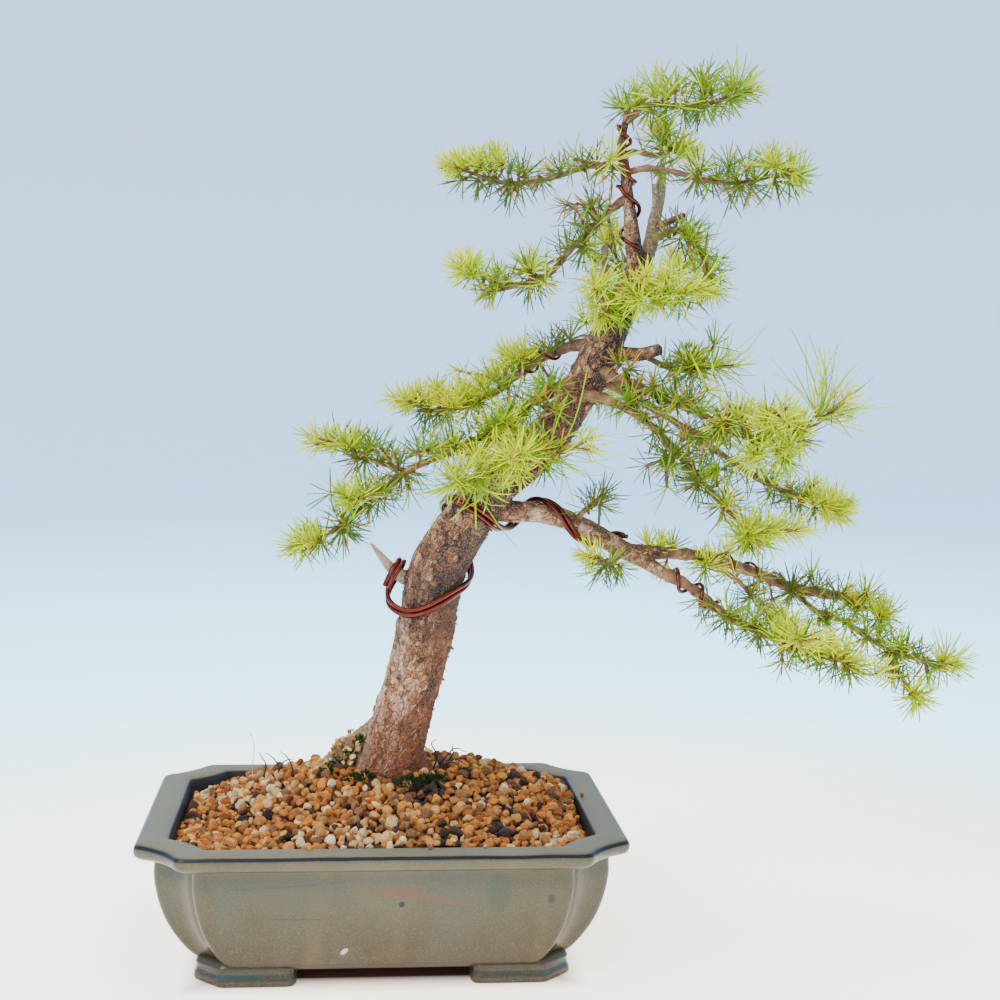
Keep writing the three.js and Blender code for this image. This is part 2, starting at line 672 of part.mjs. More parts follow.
// Heavy wires: two side by side, hooked round the stub, round the trunk, under the bough and along it
function heavyTrack() {
  const onTrunk = [
    [145, 200, 6.3],
    [141, 230, 2.8],
    [147, 270, 0.6],
    [158, 315, 0.6],
    [168, 360, 1.8],
    [178, 405, 1.5],
    [188, 450, 0.6],
    [199, 540, 0.2],
    [203.5, 585, 0.4],
    [204.3, 642, 0.2],
    [202.6, 700, 0.8],
  ];
  const onBough = [
    [9, -22, 2.3],
    [15, 20, 1],
    [21, 90, 0.5],
    [30, 180],
    [44, 270],
    [60, 360],
    [69, 450],
    [78, 540],
  ];
  const trunkPart = coil(TRUNK, HEAVY_WIRE, onTrunk, 28);
  const boughPart = coil(BOUGH, HEAVY_WIRE, onBough, 36);
  const bend = (points) => new THREE.CatmullRomCurve3(points, false, "centripetal");
  const hookPoints = bend([...HOOK.map(([point]) => vector(point)), trunkPart[0].point]);
  const hookOutward = bend([...HOOK.map(([, outward]) => vector(outward)), trunkPart[0].outward]);
  const hook = [];
  for (let i = 0; i < HOOK_STEPS; i++) {
    const place = i / HOOK_STEPS;
    hook.push({ point: hookPoints.getPoint(place), outward: hookOutward.getPoint(place).normalize() });
  }
  const last = trunkPart[trunkPart.length - 1];
  const first = boughPart[0];
  const between = {
    point: last.point.clone().lerp(first.point, 0.5),
    outward: last.outward.clone().add(first.outward).normalize(),
  };
  return [...hook, ...trunkPart, between, ...boughPart];
}

// Each thinner wire: its radius, its limb, and the places its coil passes through
const THINNER_WIRES = [
  ["wire_leader", MEDIUM_WIRE, LEFT_LEADER,
    [[15, -80], [17, -100], [41, -440], [47, -500], [49, -540], [50, -720], [52, -790],
      [62, -835, 0.2], [76, -1170, 0.6], [80, -1220, 0.6]]],
  ["wire_mid_left", THIN_WIRE, limbOf("spray_mid_left"), [[15, 0], [42, 1.75 * 360]]],
  ["wire_right_high", THIN_WIRE, limbOf("spray_right_high"), [[20, 90], [58, 90 + 2.5 * 360]]],
  ["wire_arm_upper", THIN_WIRE, limbOf("spray_arm_upper"), [[34, 90], [76, 90 + 2.5 * 360]]],
  ["wire_arm_lower", MEDIUM_WIRE, limbOf("spray_arm_lower"), [[4, 90], [36, 90 + 2.2 * 360]]],
];
const HEAVY_SHIFT = HEAVY_WIRE + GAP;
const WIRES = [
  { name: "wire_heavy_lower", radius: HEAVY_WIRE, sides: 5, points: beside(heavyTrack(), -HEAVY_SHIFT) },
  { name: "wire_heavy_upper", radius: HEAVY_WIRE, sides: 5, points: beside(heavyTrack(), HEAVY_SHIFT) },
  ...THINNER_WIRES.map(([name, radius, limb, places]) => ({
    name,
    radius,
    sides: 4,
    points: coil(limb, radius, places, 40).map(({ point }) => point),
  })),
];

// Distance between two straight stretches
function stretchGap(p, q) {
  const d1 = q.b.clone().sub(q.a);
  const d2 = p.b.clone().sub(p.a);
  const r = q.a.clone().sub(p.a);
  const a = d1.lengthSq();
  const e = d2.lengthSq();
  const f = d2.dot(r);
  const c = d1.dot(r);
  const b = d1.dot(d2);
  const denominator = a * e - b * b;
  let s = denominator > 1e-9 ? THREE.MathUtils.clamp((b * f - c * e) / denominator, 0, 1) : 0;
  let t = (b * s + f) / e;
  if (t < 0) {
    t = 0;
    s = THREE.MathUtils.clamp(-c / a, 0, 1);
  } else if (t > 1) {
    t = 1;
    s = THREE.MathUtils.clamp((b - c) / a, 0, 1);
  }
  return d1.multiplyScalar(s).add(q.a).distanceTo(d2.multiplyScalar(t).add(p.a));
}

const wood = [];
TRUNK_LIMBS.forEach((limb) => wood.push(...limb.stretches(8, "trunk")));
SPRAYS.forEach((spray) => spray.limbs.forEach((limb) => wood.push(...limb.stretches(8, spray.name))));
WIRES.forEach(({ name, radius, points }) => {
  for (let i = 0; i + 1 < points.length; i++) {
    wood.push({ a: points[i], b: points[i + 1], radius, owner: name });
  }
});
const needles = [];

function clearOf(stretch, others, clearance) {
  return others.every((other) => stretchGap(stretch, other) > other.radius + stretch.radius + clearance);
}

// Shoot: a thin twig from a place on a limb, with its tufts at even steps up to its tip
function makeShoot(start, direction, length, owner, from) {
  const end = start.clone().addScaledVector(direction, length);
  const tuftCount = Math.max(1, Math.round((length - from) / TUFT_STEP));
  const tufts = [];
  for (let i = 0; i < tuftCount; i++) {
    tufts.push(length - ((length - from) * (tuftCount - 1 - i)) / tuftCount);
  }
  return { a: start, b: end, direction, tufts, radius: SHOOT_RADIUS, owner };
}

// Shoots of one limb, turned by the golden angle from one to the next, and one at its tip
function shootsOf(limb, owner, first, spacing, random) {
  const shoots = [];
  const ownWood = wood.filter((other) => other.owner === owner);
  const otherWood = wood.filter((other) => other.owner !== owner);
  let angle = TURN * random();
  for (let along = first; along < limb.length - 4; along += spacing * (0.8 + 0.4 * random())) {
    for (let attempt = 0; attempt < 9; attempt++) {
      angle += GOLDEN_ANGLE;
      const u = along / limb.length;
      const tangent = limb.tangentAt(u);
      const side = Z.clone().cross(tangent).normalize();
      const up = tangent.clone().cross(side);
      const direction = side
        .multiplyScalar(Math.cos(angle))
        .addScaledVector(up, Math.sin(angle))
        .addScaledVector(Z, UPWARD_LEAN)
        .normalize()
        .addScaledVector(tangent, FORWARD_LEAN)
        .normalize();
      const radius = limb.radiusAt(u);
      const reach = radius + lerp(SHOOT_SHORT, SHOOT_LONG, random() ** 2);
      const start = limb.pointAt(u).addScaledVector(direction, radius * 0.3);
      const shoot = makeShoot(start, direction, reach, owner, radius + 3);
      const outerPart = { ...shoot, a: start.clone().addScaledVector(direction, reach * 0.6) };
      const fits =
        clearOf(outerPart, shoots, 3) &&
        clearOf(outerPart, ownWood, SHOOT_RADIUS) &&
        clearOf(shoot, otherWood, SHOOT_CLEAR);
      if (fits) {
        shoots.push(shoot);
        break;
      }
    }
  }
  const end = limb.pointAt(1);
  const tangent = limb.tangentAt(1);
  shoots.push(makeShoot(end.clone().addScaledVector(tangent, -2), tangent, TIP_SHOOT, owner, 5));
  return shoots;
}

// Needle on one face of a shoot: its tip, or nothing where every try would touch something
function needleTip(base, outward, tangent, lift, key, random) {
  const otherTufts = needles.filter((other) => other.key !== key);
  for (let attempt = 0; attempt < 7; attempt++) {
    const tilt = lift + NEEDLE_SPREAD * (random() - 0.5);
    const direction = outward
      .clone()
      .multiplyScalar(Math.cos(tilt))
      .addScaledVector(tangent, Math.sin(tilt))
      .addScaledVector(Z, NEEDLE_RISE)
      .normalize();
    const length = lerp(NEEDLE_SHORT, NEEDLE_LONG, random()) * (1 - 0.07 * attempt);
    const tip = base.clone().addScaledVector(direction, length);
    const needle = { a: base.clone().addScaledVector(direction, 2.2), b: tip, radius: 0, key };
    if (clearOf(needle, wood, WOOD_CLEAR) && clearOf(needle, otherTufts, NEEDLE_CLEAR)) {
      needles.push(needle);
      return tip;
    }
  }
  return null;
}

// Solid of a shoot, its needles drawn out of its own faces
function shootSolid(shoot, random) {
  const side = (Math.abs(shoot.direction.z) < 0.9 ? Z : X).clone().cross(shoot.direction).normalize();
  const up = shoot.direction.clone().cross(side);
  const ringAt = (along, radius) => {
    const ring = [];
    for (let j = 0; j < SHOOT_SIDES; j++) {
      const angle = (TURN * j) / SHOOT_SIDES;
      ring.push(
        shoot.a
          .clone()
          .addScaledVector(shoot.direction, along)
          .addScaledVector(side, radius * Math.cos(angle))
          .addScaledVector(up, radius * Math.sin(angle)),
      );
    }
    return ring;
  };
  const rings = [ringAt(0, SHOOT_RADIUS)];
  const tuftRows = new Map();
  shoot.tufts.forEach((along) => {
    rings.push(ringAt(along - 1, SHOOT_RADIUS));
    tuftRows.set(rings.length - 1, along);
    rings.push(ringAt(along + 1, SHOOT_RADIUS * 0.95));
  });
  const last = shoot.tufts[shoot.tufts.length - 1];
  const tipMiddle = shoot.a.clone().addScaledVector(shoot.direction, last + 1.5);
  const { vertices, triangles } = skin(rings, shoot.a.clone(), tipMiddle);
  const grown = [];
  const faces = 2 * SHOOT_SIDES * (rings.length - 1);
  triangles.forEach((triangle, index) => {
    const row = Math.floor(index / (2 * SHOOT_SIDES));
    const atTip = index >= faces && (index - faces) % 2 === 1;
    const inTuft = index < faces && tuftRows.has(row);
    if (!atTip && !inTuft) {
      grown.push(triangle);
      return;
    }
    const base = new THREE.Vector3();
    triangle.forEach((vertexIndex) => base.addScaledVector(vertices[vertexIndex], 1 / 3));
    const along = base.clone().sub(shoot.a).dot(shoot.direction);
    const outward = base.clone().sub(shoot.a).addScaledVector(shoot.direction, -along).normalize();
    const lift = atTip ? TIP_LIFT : SIDE_LIFTS[index % 2];
    const key = `${shoot.owner} ${shoot.a.x.toFixed(3)} ${atTip ? last : tuftRows.get(row)}`;
    const tip = needleTip(base, outward, shoot.direction, lift, key, random);
    if (!tip) {
      grown.push(triangle);
      return;
    }
    const [p, q, r] = triangle;
    const top = vertices.push(tip) - 1;
    grown.push([p, q, top], [q, r, top], [r, p, top]);
  });
  return solidOf(vertices, grown);
}

// How far along the first limb of a branch its shoots begin
const BARE_START = {
  spray_apex: 7,
  spray_arm_upper: 30,
  spray_arm_lower: 38,
  spray_right_high: 40,
  spray_right_low: 26,
  spray_low_left: 34,
  spray_mid_left: 34,
  spray_right_rear: 44,
};

function makeSprays(trunkMargin) {
  const random = randomSource(2024);
  const planned = SPRAYS.map(({ name, limbs }) => {
    const shoots = limbs.flatMap((limb, i) => {
      const first = i === 0 ? BARE_START[name] ?? BARE_LIMB : BARE_SIDE_LIMB;
      return shootsOf(limb, name, first, SHOOT_SPACING, random);
    });
    wood.push(...shoots.map((shoot) => ({ ...shoot, owner: `${name} shoot` })));
    return { name, limbs, shoots };
  });
  return planned.map(({ name, limbs, shoots }) => {
    const shootSolids = shoots.map((shoot) => {
      const own = wood.findIndex((other) => other.a === shoot.a);
      const [entry] = wood.splice(own, 1);
      const solid = shootSolid(shoot, random);
      wood.push(entry);
      return solid;
    });
    const limbSolids = limbs.map((limb) => {
      const thick = limb.radii[1] > 2.2;
      return limb.solid({ sides: thick ? 6 : 5, step: thick ? 12 : 20 });
    });
    return { name, solid: joined([...limbSolids, ...shootSolids]).subtract(trunkMargin) };
  });
}

// Materials
const finish = (color, roughness, metalness) =>
  new THREE.MeshStandardMaterial({ color, roughness, metalness });
const glaze = finish(0x8b9a93, 0.3, 0);
const plasticMesh = finish(0x2b2b2b, 0.7, 0);
const granules = finish(0xb07a4a, 0.95, 0);
const barkWood = finish(0x9a7a66, 0.9, 0);
const anodised = finish(0x7a3a2c, 0.35, 0.9);
const foliage = finish(0x9fbf3a, 0.7, 0);

// The whole object, stood on its feet with the middle of its box over the origin
const bonsai = new THREE.Group();
const trunkMargin = makeTrunk(GAP);
bonsai.add(meshOf("pot", makePot(), glaze));
bonsai.add(meshOf("drainage_screen_left", makeScreen(-DRAIN_SPACING / 2), plasticMesh));
bonsai.add(meshOf("drainage_screen_right", makeScreen(DRAIN_SPACING / 2), plasticMesh));
bonsai.add(meshOf("soil", makeSoil(trunkMargin), granules));
bonsai.add(meshOf("trunk", makeTrunk(0), barkWood));
WIRES.forEach(({ name, points, radius, sides }) => {
  bonsai.add(meshOf(name, wireSolid(points, radius, sides), anodised));
});
makeSprays(trunkMargin).forEach(({ name, solid }) => {
  bonsai.add(meshOf(name, solid, foliage));
});
const box = new THREE.Box3().setFromObject(bonsai);
bonsai.position.set(-(box.min.x + box.max.x) / 2, -(box.min.y + box.max.y) / 2, -box.min.z);

export default bonsai;
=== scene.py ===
# %% [markdown]
# # A larch bonsai in its pot
# This lesson dresses a small European larch that leans out of a glazed pot. The exact solids of
# the tree and the pot come in as a fixed frame, in metres, with +Z up and the front facing -Y.
# Every piece below is made in code, sits where its solid is, and gets a finish made of nodes.

import json
import math
from itertools import groupby

import bmesh
import bpy
import numpy as np
from mathutils import Matrix, Vector, noise

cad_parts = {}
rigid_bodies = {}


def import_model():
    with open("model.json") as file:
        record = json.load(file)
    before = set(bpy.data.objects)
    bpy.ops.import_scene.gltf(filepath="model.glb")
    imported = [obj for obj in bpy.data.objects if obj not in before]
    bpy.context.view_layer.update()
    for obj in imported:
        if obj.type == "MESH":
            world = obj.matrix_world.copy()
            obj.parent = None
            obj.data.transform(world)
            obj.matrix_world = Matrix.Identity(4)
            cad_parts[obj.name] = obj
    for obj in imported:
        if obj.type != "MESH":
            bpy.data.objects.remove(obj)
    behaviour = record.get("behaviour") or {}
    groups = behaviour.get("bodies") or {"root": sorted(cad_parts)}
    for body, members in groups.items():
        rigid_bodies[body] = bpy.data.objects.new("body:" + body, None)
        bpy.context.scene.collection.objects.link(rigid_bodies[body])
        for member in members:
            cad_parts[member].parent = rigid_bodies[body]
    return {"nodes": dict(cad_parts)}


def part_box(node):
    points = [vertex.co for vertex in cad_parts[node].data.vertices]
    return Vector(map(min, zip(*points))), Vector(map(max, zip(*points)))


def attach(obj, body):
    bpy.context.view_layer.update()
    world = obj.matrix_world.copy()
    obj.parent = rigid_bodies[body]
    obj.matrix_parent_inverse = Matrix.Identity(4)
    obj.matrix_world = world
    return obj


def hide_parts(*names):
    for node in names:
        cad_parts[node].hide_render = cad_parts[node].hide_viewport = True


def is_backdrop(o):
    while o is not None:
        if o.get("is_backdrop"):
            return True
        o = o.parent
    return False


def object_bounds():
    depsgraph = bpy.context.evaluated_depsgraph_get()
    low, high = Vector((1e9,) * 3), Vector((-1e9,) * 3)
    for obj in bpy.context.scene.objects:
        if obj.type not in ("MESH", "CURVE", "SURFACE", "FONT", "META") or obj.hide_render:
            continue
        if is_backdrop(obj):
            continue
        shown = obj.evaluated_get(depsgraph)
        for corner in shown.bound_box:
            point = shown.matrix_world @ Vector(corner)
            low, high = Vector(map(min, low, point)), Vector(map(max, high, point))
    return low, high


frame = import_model()
solid_low, solid_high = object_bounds()
print("solids:", len(frame["nodes"]), "height:", round(solid_high.z, 3), "m")

# %% [markdown]
# The tree was measured from the middle of the pot, in millimetres, because way points are easy
# to read in whole millimetres. The pot isn't in the middle of the whole object, since the tree
# leans far out to one side. So one function turns the tree's millimetres into the frame's metres,
# and the pot's own solid says how far the two differ.

# %% From the tree's millimetres to the frame's metres
pot_low, pot_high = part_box("pot")
POT_CENTRE = np.array([(pot_low.x + pot_high.x) / 2, (pot_low.y + pot_high.y) / 2, 0.0])


def to_frame(points):
    """The frame's metres for points in the tree's millimetres."""
    return np.asarray(points, float) / 1000 + POT_CENTRE


print("pot centre:", POT_CENTRE.round(4))

# %% [markdown]
# ## The camera
# A picture of a bonsai is taken from a little above the rim of the pot, with a rather long lens, so
# that the tree doesn't seem to fall towards the viewer. The camera stands about 0.9 m in front of
# the pot, looks a little to the right and a little down, and is rolled by one degree.

# %% The camera
CAMERA_PLACE = (-22.2, -884.4, 316.4)
CAMERA_TURN, CAMERA_TILT, CAMERA_ROLL = (math.radians(a) for a in (-5.456, -4.887, -1.026))
CAMERA_LENS, SENSOR_WIDTH = 58.75, 36


def in_scene(name, data):
    """A new object in the scene."""
    made = bpy.data.objects.new(name, data)
    bpy.context.scene.collection.objects.link(made)
    return made


camera = in_scene("camera", bpy.data.cameras.new("camera"))
camera.data.lens = CAMERA_LENS
camera.data.sensor_width = SENSOR_WIDTH
camera.data.clip_start = 0.01
looking_level = Matrix.Rotation(math.radians(90), 4, "X")
camera.matrix_world = (
    Matrix.Translation(Vector(to_frame(CAMERA_PLACE)))
    @ Matrix.Rotation(CAMERA_TURN, 4, "Z")
    @ Matrix.Rotation(CAMERA_TILT, 4, "X")
    @ looking_level
    @ Matrix.Rotation(-CAMERA_ROLL, 4, "Z")
)
bpy.context.scene.camera = camera
print("camera at", tuple(round(c, 3) for c in camera.location))

# %% [markdown]
# ## Finishes as sums
# A finish in Blender is a graph of nodes. Graphs are hard to read in code, so two small classes
# let the lesson write them as sums: a `Tone` is one output of the graph, and adding or multiplying
# two of them adds the Math node. A `Finish` holds the material, and its one method makes any other
# node from its type, its settings and what goes into its sockets.


# %% Tones
class Tone:
    """One output in a finish. Sums and products of tones add the Math nodes."""

    def __init__(self, finish, socket):
        self.finish = finish
        self.socket = socket

    def maths(self, operation, *terms):
        return self.finish.node("ShaderNodeMath", {"operation": operation}, dict(enumerate(terms)))

    def __add__(self, other):
        return self.maths("ADD", self, other)

    def __sub__(self, other):
        return self.maths("SUBTRACT", self, other)

    def __rsub__(self, other):
        return self.maths("SUBTRACT", other, self)

    def __mul__(self, other):
        return self.maths("MULTIPLY", self, other)

    def __truediv__(self, other):
        return self.maths("DIVIDE", self, other)

    __radd__ = __add__
    __rmul__ = __mul__


# %% Finishes
class Finish:
    """A material whose nodes are added one by one."""

    def __init__(self, name, **constants):
        self.material = bpy.data.materials.new(name)
        self.material.use_nodes = True
        self.tree = self.material.node_tree
        self.surface = self.tree.nodes["Principled BSDF"]
        self.paint(**constants)

    def plug(self, socket, value):
        if isinstance(value, Tone):
            self.tree.links.new(value.socket, socket)
        elif isinstance(value, tuple) and socket.type == "RGBA":
            socket.default_value = (*value, 1)
        else:
            socket.default_value = value

    def node(self, kind, settings=None, inputs=None, out=0):
        made = self.tree.nodes.new(kind)
        for setting, value in (settings or {}).items():
            if setting == "stops":
                self.set_stops(made.color_ramp, value)
            else:
                setattr(made, setting, value)
        for socket, value in (inputs or {}).items():
            self.plug(made.inputs[socket], value)
        return Tone(self, made.outputs[out])

    def set_stops(self, ramp, stops):
        while len(ramp.elements) < len(stops):
            ramp.elements.new(1)
        for element, (place, colour) in zip(ramp.elements, stops):
            element.position = place
            element.color = (*colour, 1) if isinstance(colour, tuple) else (colour,) * 3 + (1,)

    def mix(self, share, first, second):
        return self.node("ShaderNodeMix", {"data_type": "RGBA"}, {0: share, 6: first, 7: second}, out=2)

    def layers(self, base, *layers):
        """A base colour with others laid over it in turn, each with its share."""
        for share, colour in layers:
            base = self.mix(share, base, colour)
        return base

    def ramp(self, tone, *stops):
        return self.node("ShaderNodeValToRGB", {"stops": stops}, {"Fac": tone})

    def step(self, tone, low, high):
        """0 below the low end, 1 above the high end, and even in between."""
        inputs = {"Value": tone, "From Min": low, "From Max": high}
        return self.node("ShaderNodeMapRange", None, inputs)

    def band(self, tone, low, rise, fall, high):
        """0 outside a band of values and 1 inside it, with soft edges."""
        return self.step(tone, low, rise) * self.step(tone, high, fall)

    def noise(self, scale, detail=3, place=None, rough=0.5):
        inputs = {"Scale": scale, "Detail": detail, "Roughness": rough, "Vector": place or self.place()}
        return self.node("ShaderNodeTexNoise", None, inputs)

    def cells(self, scale, feature="F1", place=None, out="Distance"):
        inputs = {"Scale": scale, "Vector": place or self.place()}
        return self.node("ShaderNodeTexVoronoi", {"feature": feature}, inputs, out=out)

    def place(self, axis=None, of="Position"):
        """The point in the frame, or one of its coordinates."""
        vector = self.node("ShaderNodeNewGeometry", out=of)
        return vector if axis is None else self.node("ShaderNodeSeparateXYZ", None, {0: vector}, out=axis)

    def facing(self, axis):
        """How far the surface faces along an axis, from -1 to 1."""
        return self.place(axis, "Normal")

    def scaled(self, vector, *scale):
        return self.node("ShaderNodeMapping", None, {"Vector": vector, "Scale": scale})

    def kept(self, name, out="Fac"):
        """A number or a vector that the mesh keeps for each of its points."""
        return self.node("ShaderNodeAttribute", {"attribute_name": name}, out=out)

    def relief(self, height, distance, strength=1.0):
        inputs = {"Strength": strength, "Distance": distance, "Height": height}
        self.plug(self.surface.inputs["Normal"], self.node("ShaderNodeBump", None, inputs))

    def paint(self, **tones):
        sockets = {socket.name.lower().replace(" ", "_"): socket for socket in self.surface.inputs}
        for name, tone in tones.items():
            self.plug(sockets[name], tone)


# %% [markdown]
# ## Rings, skins and pieces
# Nearly everything here grows as a skin between rings: the pot from rings of its outline, wood and
# wire from rings round a curve. A `Heap` gathers many such skins, with a few numbers kept for each
# point, and one call turns the heap into a piece that rides on the frame.


# %% Heaps of points and faces
class Heap:
    """Points and faces gathered for one piece, with numbers kept for each point."""

    def __init__(self):
        self.points = []
        self.faces = []
        self.kept = {}
        self.count = 0

    def add(self, points, faces, **kept):
        self.points.append(np.asarray(points, float))
        self.faces += [[index + self.count for index in face] for face in faces]
        for name, value in kept.items():
            value = np.asarray(value, float)
            if value.shape[:1] != (len(points),):
                value = np.broadcast_to(value, (len(points), *value.shape))
            self.kept.setdefault(name, []).append(value)
        self.count += len(points)

    def piece(self, name, finish, slot, replaces=(), smooth=True):
        """Puts the heap into the scene as a piece of the object."""
        mesh = bpy.data.meshes.new(name)
        mesh.from_pydata(to_frame(np.vstack(self.points)), [], self.faces)
        for key, values in self.kept.items():
            whole = np.concatenate(values)
            kind = "FLOAT" if whole.ndim == 1 else "FLOAT_VECTOR"
            attribute = mesh.attributes.new(key, kind, "POINT")
            attribute.data.foreach_set("value" if whole.ndim == 1 else "vector", whole.ravel())
        mesh.materials.append(finish.material)
        mesh.polygons.foreach_set("use_smooth", [smooth] * len(mesh.polygons))
        made = in_scene(name, mesh)
        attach(made, "root")
        if replaces:
            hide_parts(*replaces)
        return made


def triangles(*pieces):
    """Number of triangles in some pieces."""
    return sum(len(polygon.vertices) - 2 for made in pieces for polygon in made.data.polygons)


# %% Skin between rings
def skin_faces(rows, sides, closed=True):
    """Faces of a skin over rows of rings. The middles of its ends are the last two points."""
    around = [(j, (j + 1) % sides) for j in range(sides)]
    faces = [
        [row + j, row + k, row + sides + k, row + sides + j]
        for row in range(0, (rows - 1) * sides, sides) for j, k in around]
    if closed:
        start, end, last = rows * sides, rows * sides + 1, (rows - 1) * sides
        faces += [[start, k, j] for j, k in around] + [[end, last + j, last + k] for j, k in around]
    return faces


# %% [markdown]
# ## The pot
# The pot is one fired piece: a low box with hollowed cut corners, a bead round the rim, walls that
# draw in to the base, more so at the ends, and four corner feet. Its profile is a short list of
# rows: how far in from the rim it is at the ends and at the long sides, how hollow the corner is,
# and the height. A smooth curve through the rows gives the soft shoulders that glaze leaves on clay.


# %% Smooth curves through given points
def unit(vector):
    """The vector at a length of one."""
    return vector / np.linalg.norm(vector)


def bow(start, bend, end, t):
    """Points of a simple bow from a start to an end, drawn towards a bend."""
    return start * (1 - t) ** 2 + 2 * bend * t * (1 - t) + end * t**2


def curve_at(given, place, centripetal=True):
    """Points of a smooth curve through the given ones. A place counts them from 0."""
    given = np.asarray(given, float)
    ends = np.vstack([2 * given[0] - given[1], given, 2 * given[-1] - given[-2]])
    place = np.clip(np.atleast_1d(np.asarray(place, float)), 0, len(given) - 1)
    first = np.minimum(place.astype(int), len(given) - 2)
    t = (place - first)[:, None]
    p0, p1, p2, p3 = (ends[first + k] for k in range(4))
    if centripetal:
        d0, d1, d2 = (
            np.sqrt(np.linalg.norm(b - a, axis=1))[:, None] for a, b in ((p0, p1), (p1, p2), (p2, p3)))
        m1 = ((p1 - p0) / d0 - (p2 - p0) / (d0 + d1) + (p2 - p1) / d1) * d1
        m2 = ((p2 - p1) / d1 - (p3 - p1) / (d1 + d2) + (p3 - p2) / d2) * d1
    else:
        m1, m2 = (p2 - p0) / 2, (p3 - p1) / 2
    return p1 + m1 * t + (3 * (p2 - p1) - 2 * m1 - m2) * t**2 + (2 * (p1 - p2) + m1 + m2) * t**3


# %% The pot's outline and profile
POT_LENGTH, POT_DEPTH, POT_HEIGHT = 253, 188, 71.5
RIM_WIDTH, END_RIM_WIDTH, FLOOR_TOP = 15, 16.5, 15
CORNER_CUT, CORNER_ROUNDING, CORNER_POINTS, SIDE_POINTS = 23.5, 3.3, 10, 8

OUTER_PROFILE = [
    (34, 15.5, 3, 8.5), (29, 13, 4, 11.5), (22, 11, 5, 19), (15.5, 10, 5.5, 29), (11.5, 9, 6, 40),
    (9.5, 8.3, 6, 51), (9, 8, 6, 61.5), (4, 3, 4, 62.5), (0.4, 0.4, 3, 65), (0, 0, 3, 68.5),
    (1.6, 1.6, 3, 70.8), (4.5, 4.5, 3, 71.5),
]
INNER_PROFILE = [
    (END_RIM_WIDTH + inset, RIM_WIDTH + inset, hollow, height) for inset, hollow, height in (
        (-3, 2.5, 71.5), (0, 2.5, 69.9), (1.5, 3, 61), (5, 3, 36), (15, 2, FLOOR_TOP + 4), (20, 1, FLOOR_TOP))
]


def outline(end_inset, side_inset, hollow, height):
    """Ring of the pot at one height. Its corners are cut, hollowed, and rounded where they meet a side."""
    half_x, half_y = POT_LENGTH / 2 - end_inset, POT_DEPTH / 2 - side_inset
    cut = CORNER_CUT - 0.2 * end_inset
    t = np.linspace(0, 1, CORNER_POINTS)
    inward = hollow * 4 * t * (1 - t) / math.sqrt(2)
    corner = np.column_stack([half_x - cut * t - inward, half_y - cut * (1 - t) - inward])
    side = corner[::-1] * (-1, 1)
    ring = np.vstack([corner, side, -corner, -side])
    t = np.linspace(0, 1, 5)[:, None]
    rounded = []
    for j, point in enumerate(ring):
        start = point + unit(ring[j - 1] - point) * CORNER_ROUNDING
        end = point + unit(ring[(j + 1) % len(ring)] - point) * CORNER_ROUNDING
        at_side = j % CORNER_POINTS in (0, CORNER_POINTS - 1)
        rounded += list(bow(start, point, end, t)) if at_side else [point]
    filled = []
    for j, point in enumerate(rounded):
        following = rounded[(j + 1) % len(rounded)]
        count = SIDE_POINTS if np.linalg.norm(following - point) > cut else 1
        filled += [point + (following - point) * k / count for k in range(count)]
    return np.column_stack([filled, np.full(len(filled), height)])


ROW_STEPS = 5
last_row = len(OUTER_PROFILE + INNER_PROFILE) - 1
profile = curve_at(OUTER_PROFILE + INNER_PROFILE, np.linspace(0, last_row, last_row * ROW_STEPS + 1))
pot_rings = np.array([outline(*row) for row in profile])
print("pot rings:", len(pot_rings), "of", pot_rings.shape[1], "points")


# %% Corner feet
FOOT_PLAN = [(96.5, 67.5), (82.5, 81.5), (47, 81.5), (44, 78.5), (44, 63.5), (78.5, 42), (96.5, 42)]
FOOT_PROFILE = [
    (1.3, 0), (0.3, 0.7), (0, 2), (0.2, 3.6), (0.9, 5.2), (1.4, 6.6), (1.3, 8), (0.9, 9.2),
    (1.6, 10.5), (3, 12)]
FOOT_ROUNDING = 2.6


def inset_corners(plan, inset):
    """The plan of a foot moved inwards, with its corners rounded."""
    plan = np.array(plan, float)
    found = []
    for before, corner, after in zip(np.roll(plan, 1, 0), plan, np.roll(plan, -1, 0)):
        first, second = unit(corner - before), unit(after - corner)
        inward = np.array([-first[1], first[0]]) + np.array([-second[1], second[0]])
        moved = corner + inward * inset / (1 + first @ second)
        start, end = moved - first * FOOT_ROUNDING, moved + second * FOOT_ROUNDING
        found.append(bow(start, moved, end, np.linspace(0, 1, 5)[:, None]))
    return np.vstack(found)


def foot_points(sign_x, sign_y):
    """Rings of one foot: a flare at the ground, a hollow that fills with glaze, and a lip."""
    plan = FOOT_PLAN if sign_x * sign_y > 0 else FOOT_PLAN[::-1]
    plan = [(x * sign_x, y * sign_y) for x, y in plan]
    rings = []
    steps = np.linspace(0, len(FOOT_PROFILE) - 1, 31)
    for inset, level in curve_at([(i, z, 0) for i, z in FOOT_PROFILE], steps)[:, :2]:
        ring = inset_corners(plan, inset)
        rings.append(np.column_stack([ring, np.full(len(ring), max(level, 0))]))
    return rings, [rings[0].mean(0), rings[-1].mean(0)]


pot_heap = Heap()
rows, sides = pot_rings.shape[:2]
middles = [(0, 0, profile[0][3]), (0, 0, FLOOR_TOP)]
is_inner = np.repeat(np.arange(rows) > len(OUTER_PROFILE) * ROW_STEPS, sides)
pot_points = np.vstack([pot_rings.reshape(-1, 3), middles])
pot_heap.add(pot_points, skin_faces(rows, sides), inner=np.append(is_inner, [0, 1]))
for sign_x in (-1, 1):
    for sign_y in (-1, 1):
        rings, ends = foot_points(sign_x, sign_y)
        pot_heap.add(np.vstack([*rings, ends]), skin_faces(len(rings), len(rings[0])), inner=0.0)
print("pot and feet:", pot_heap.count, "points")

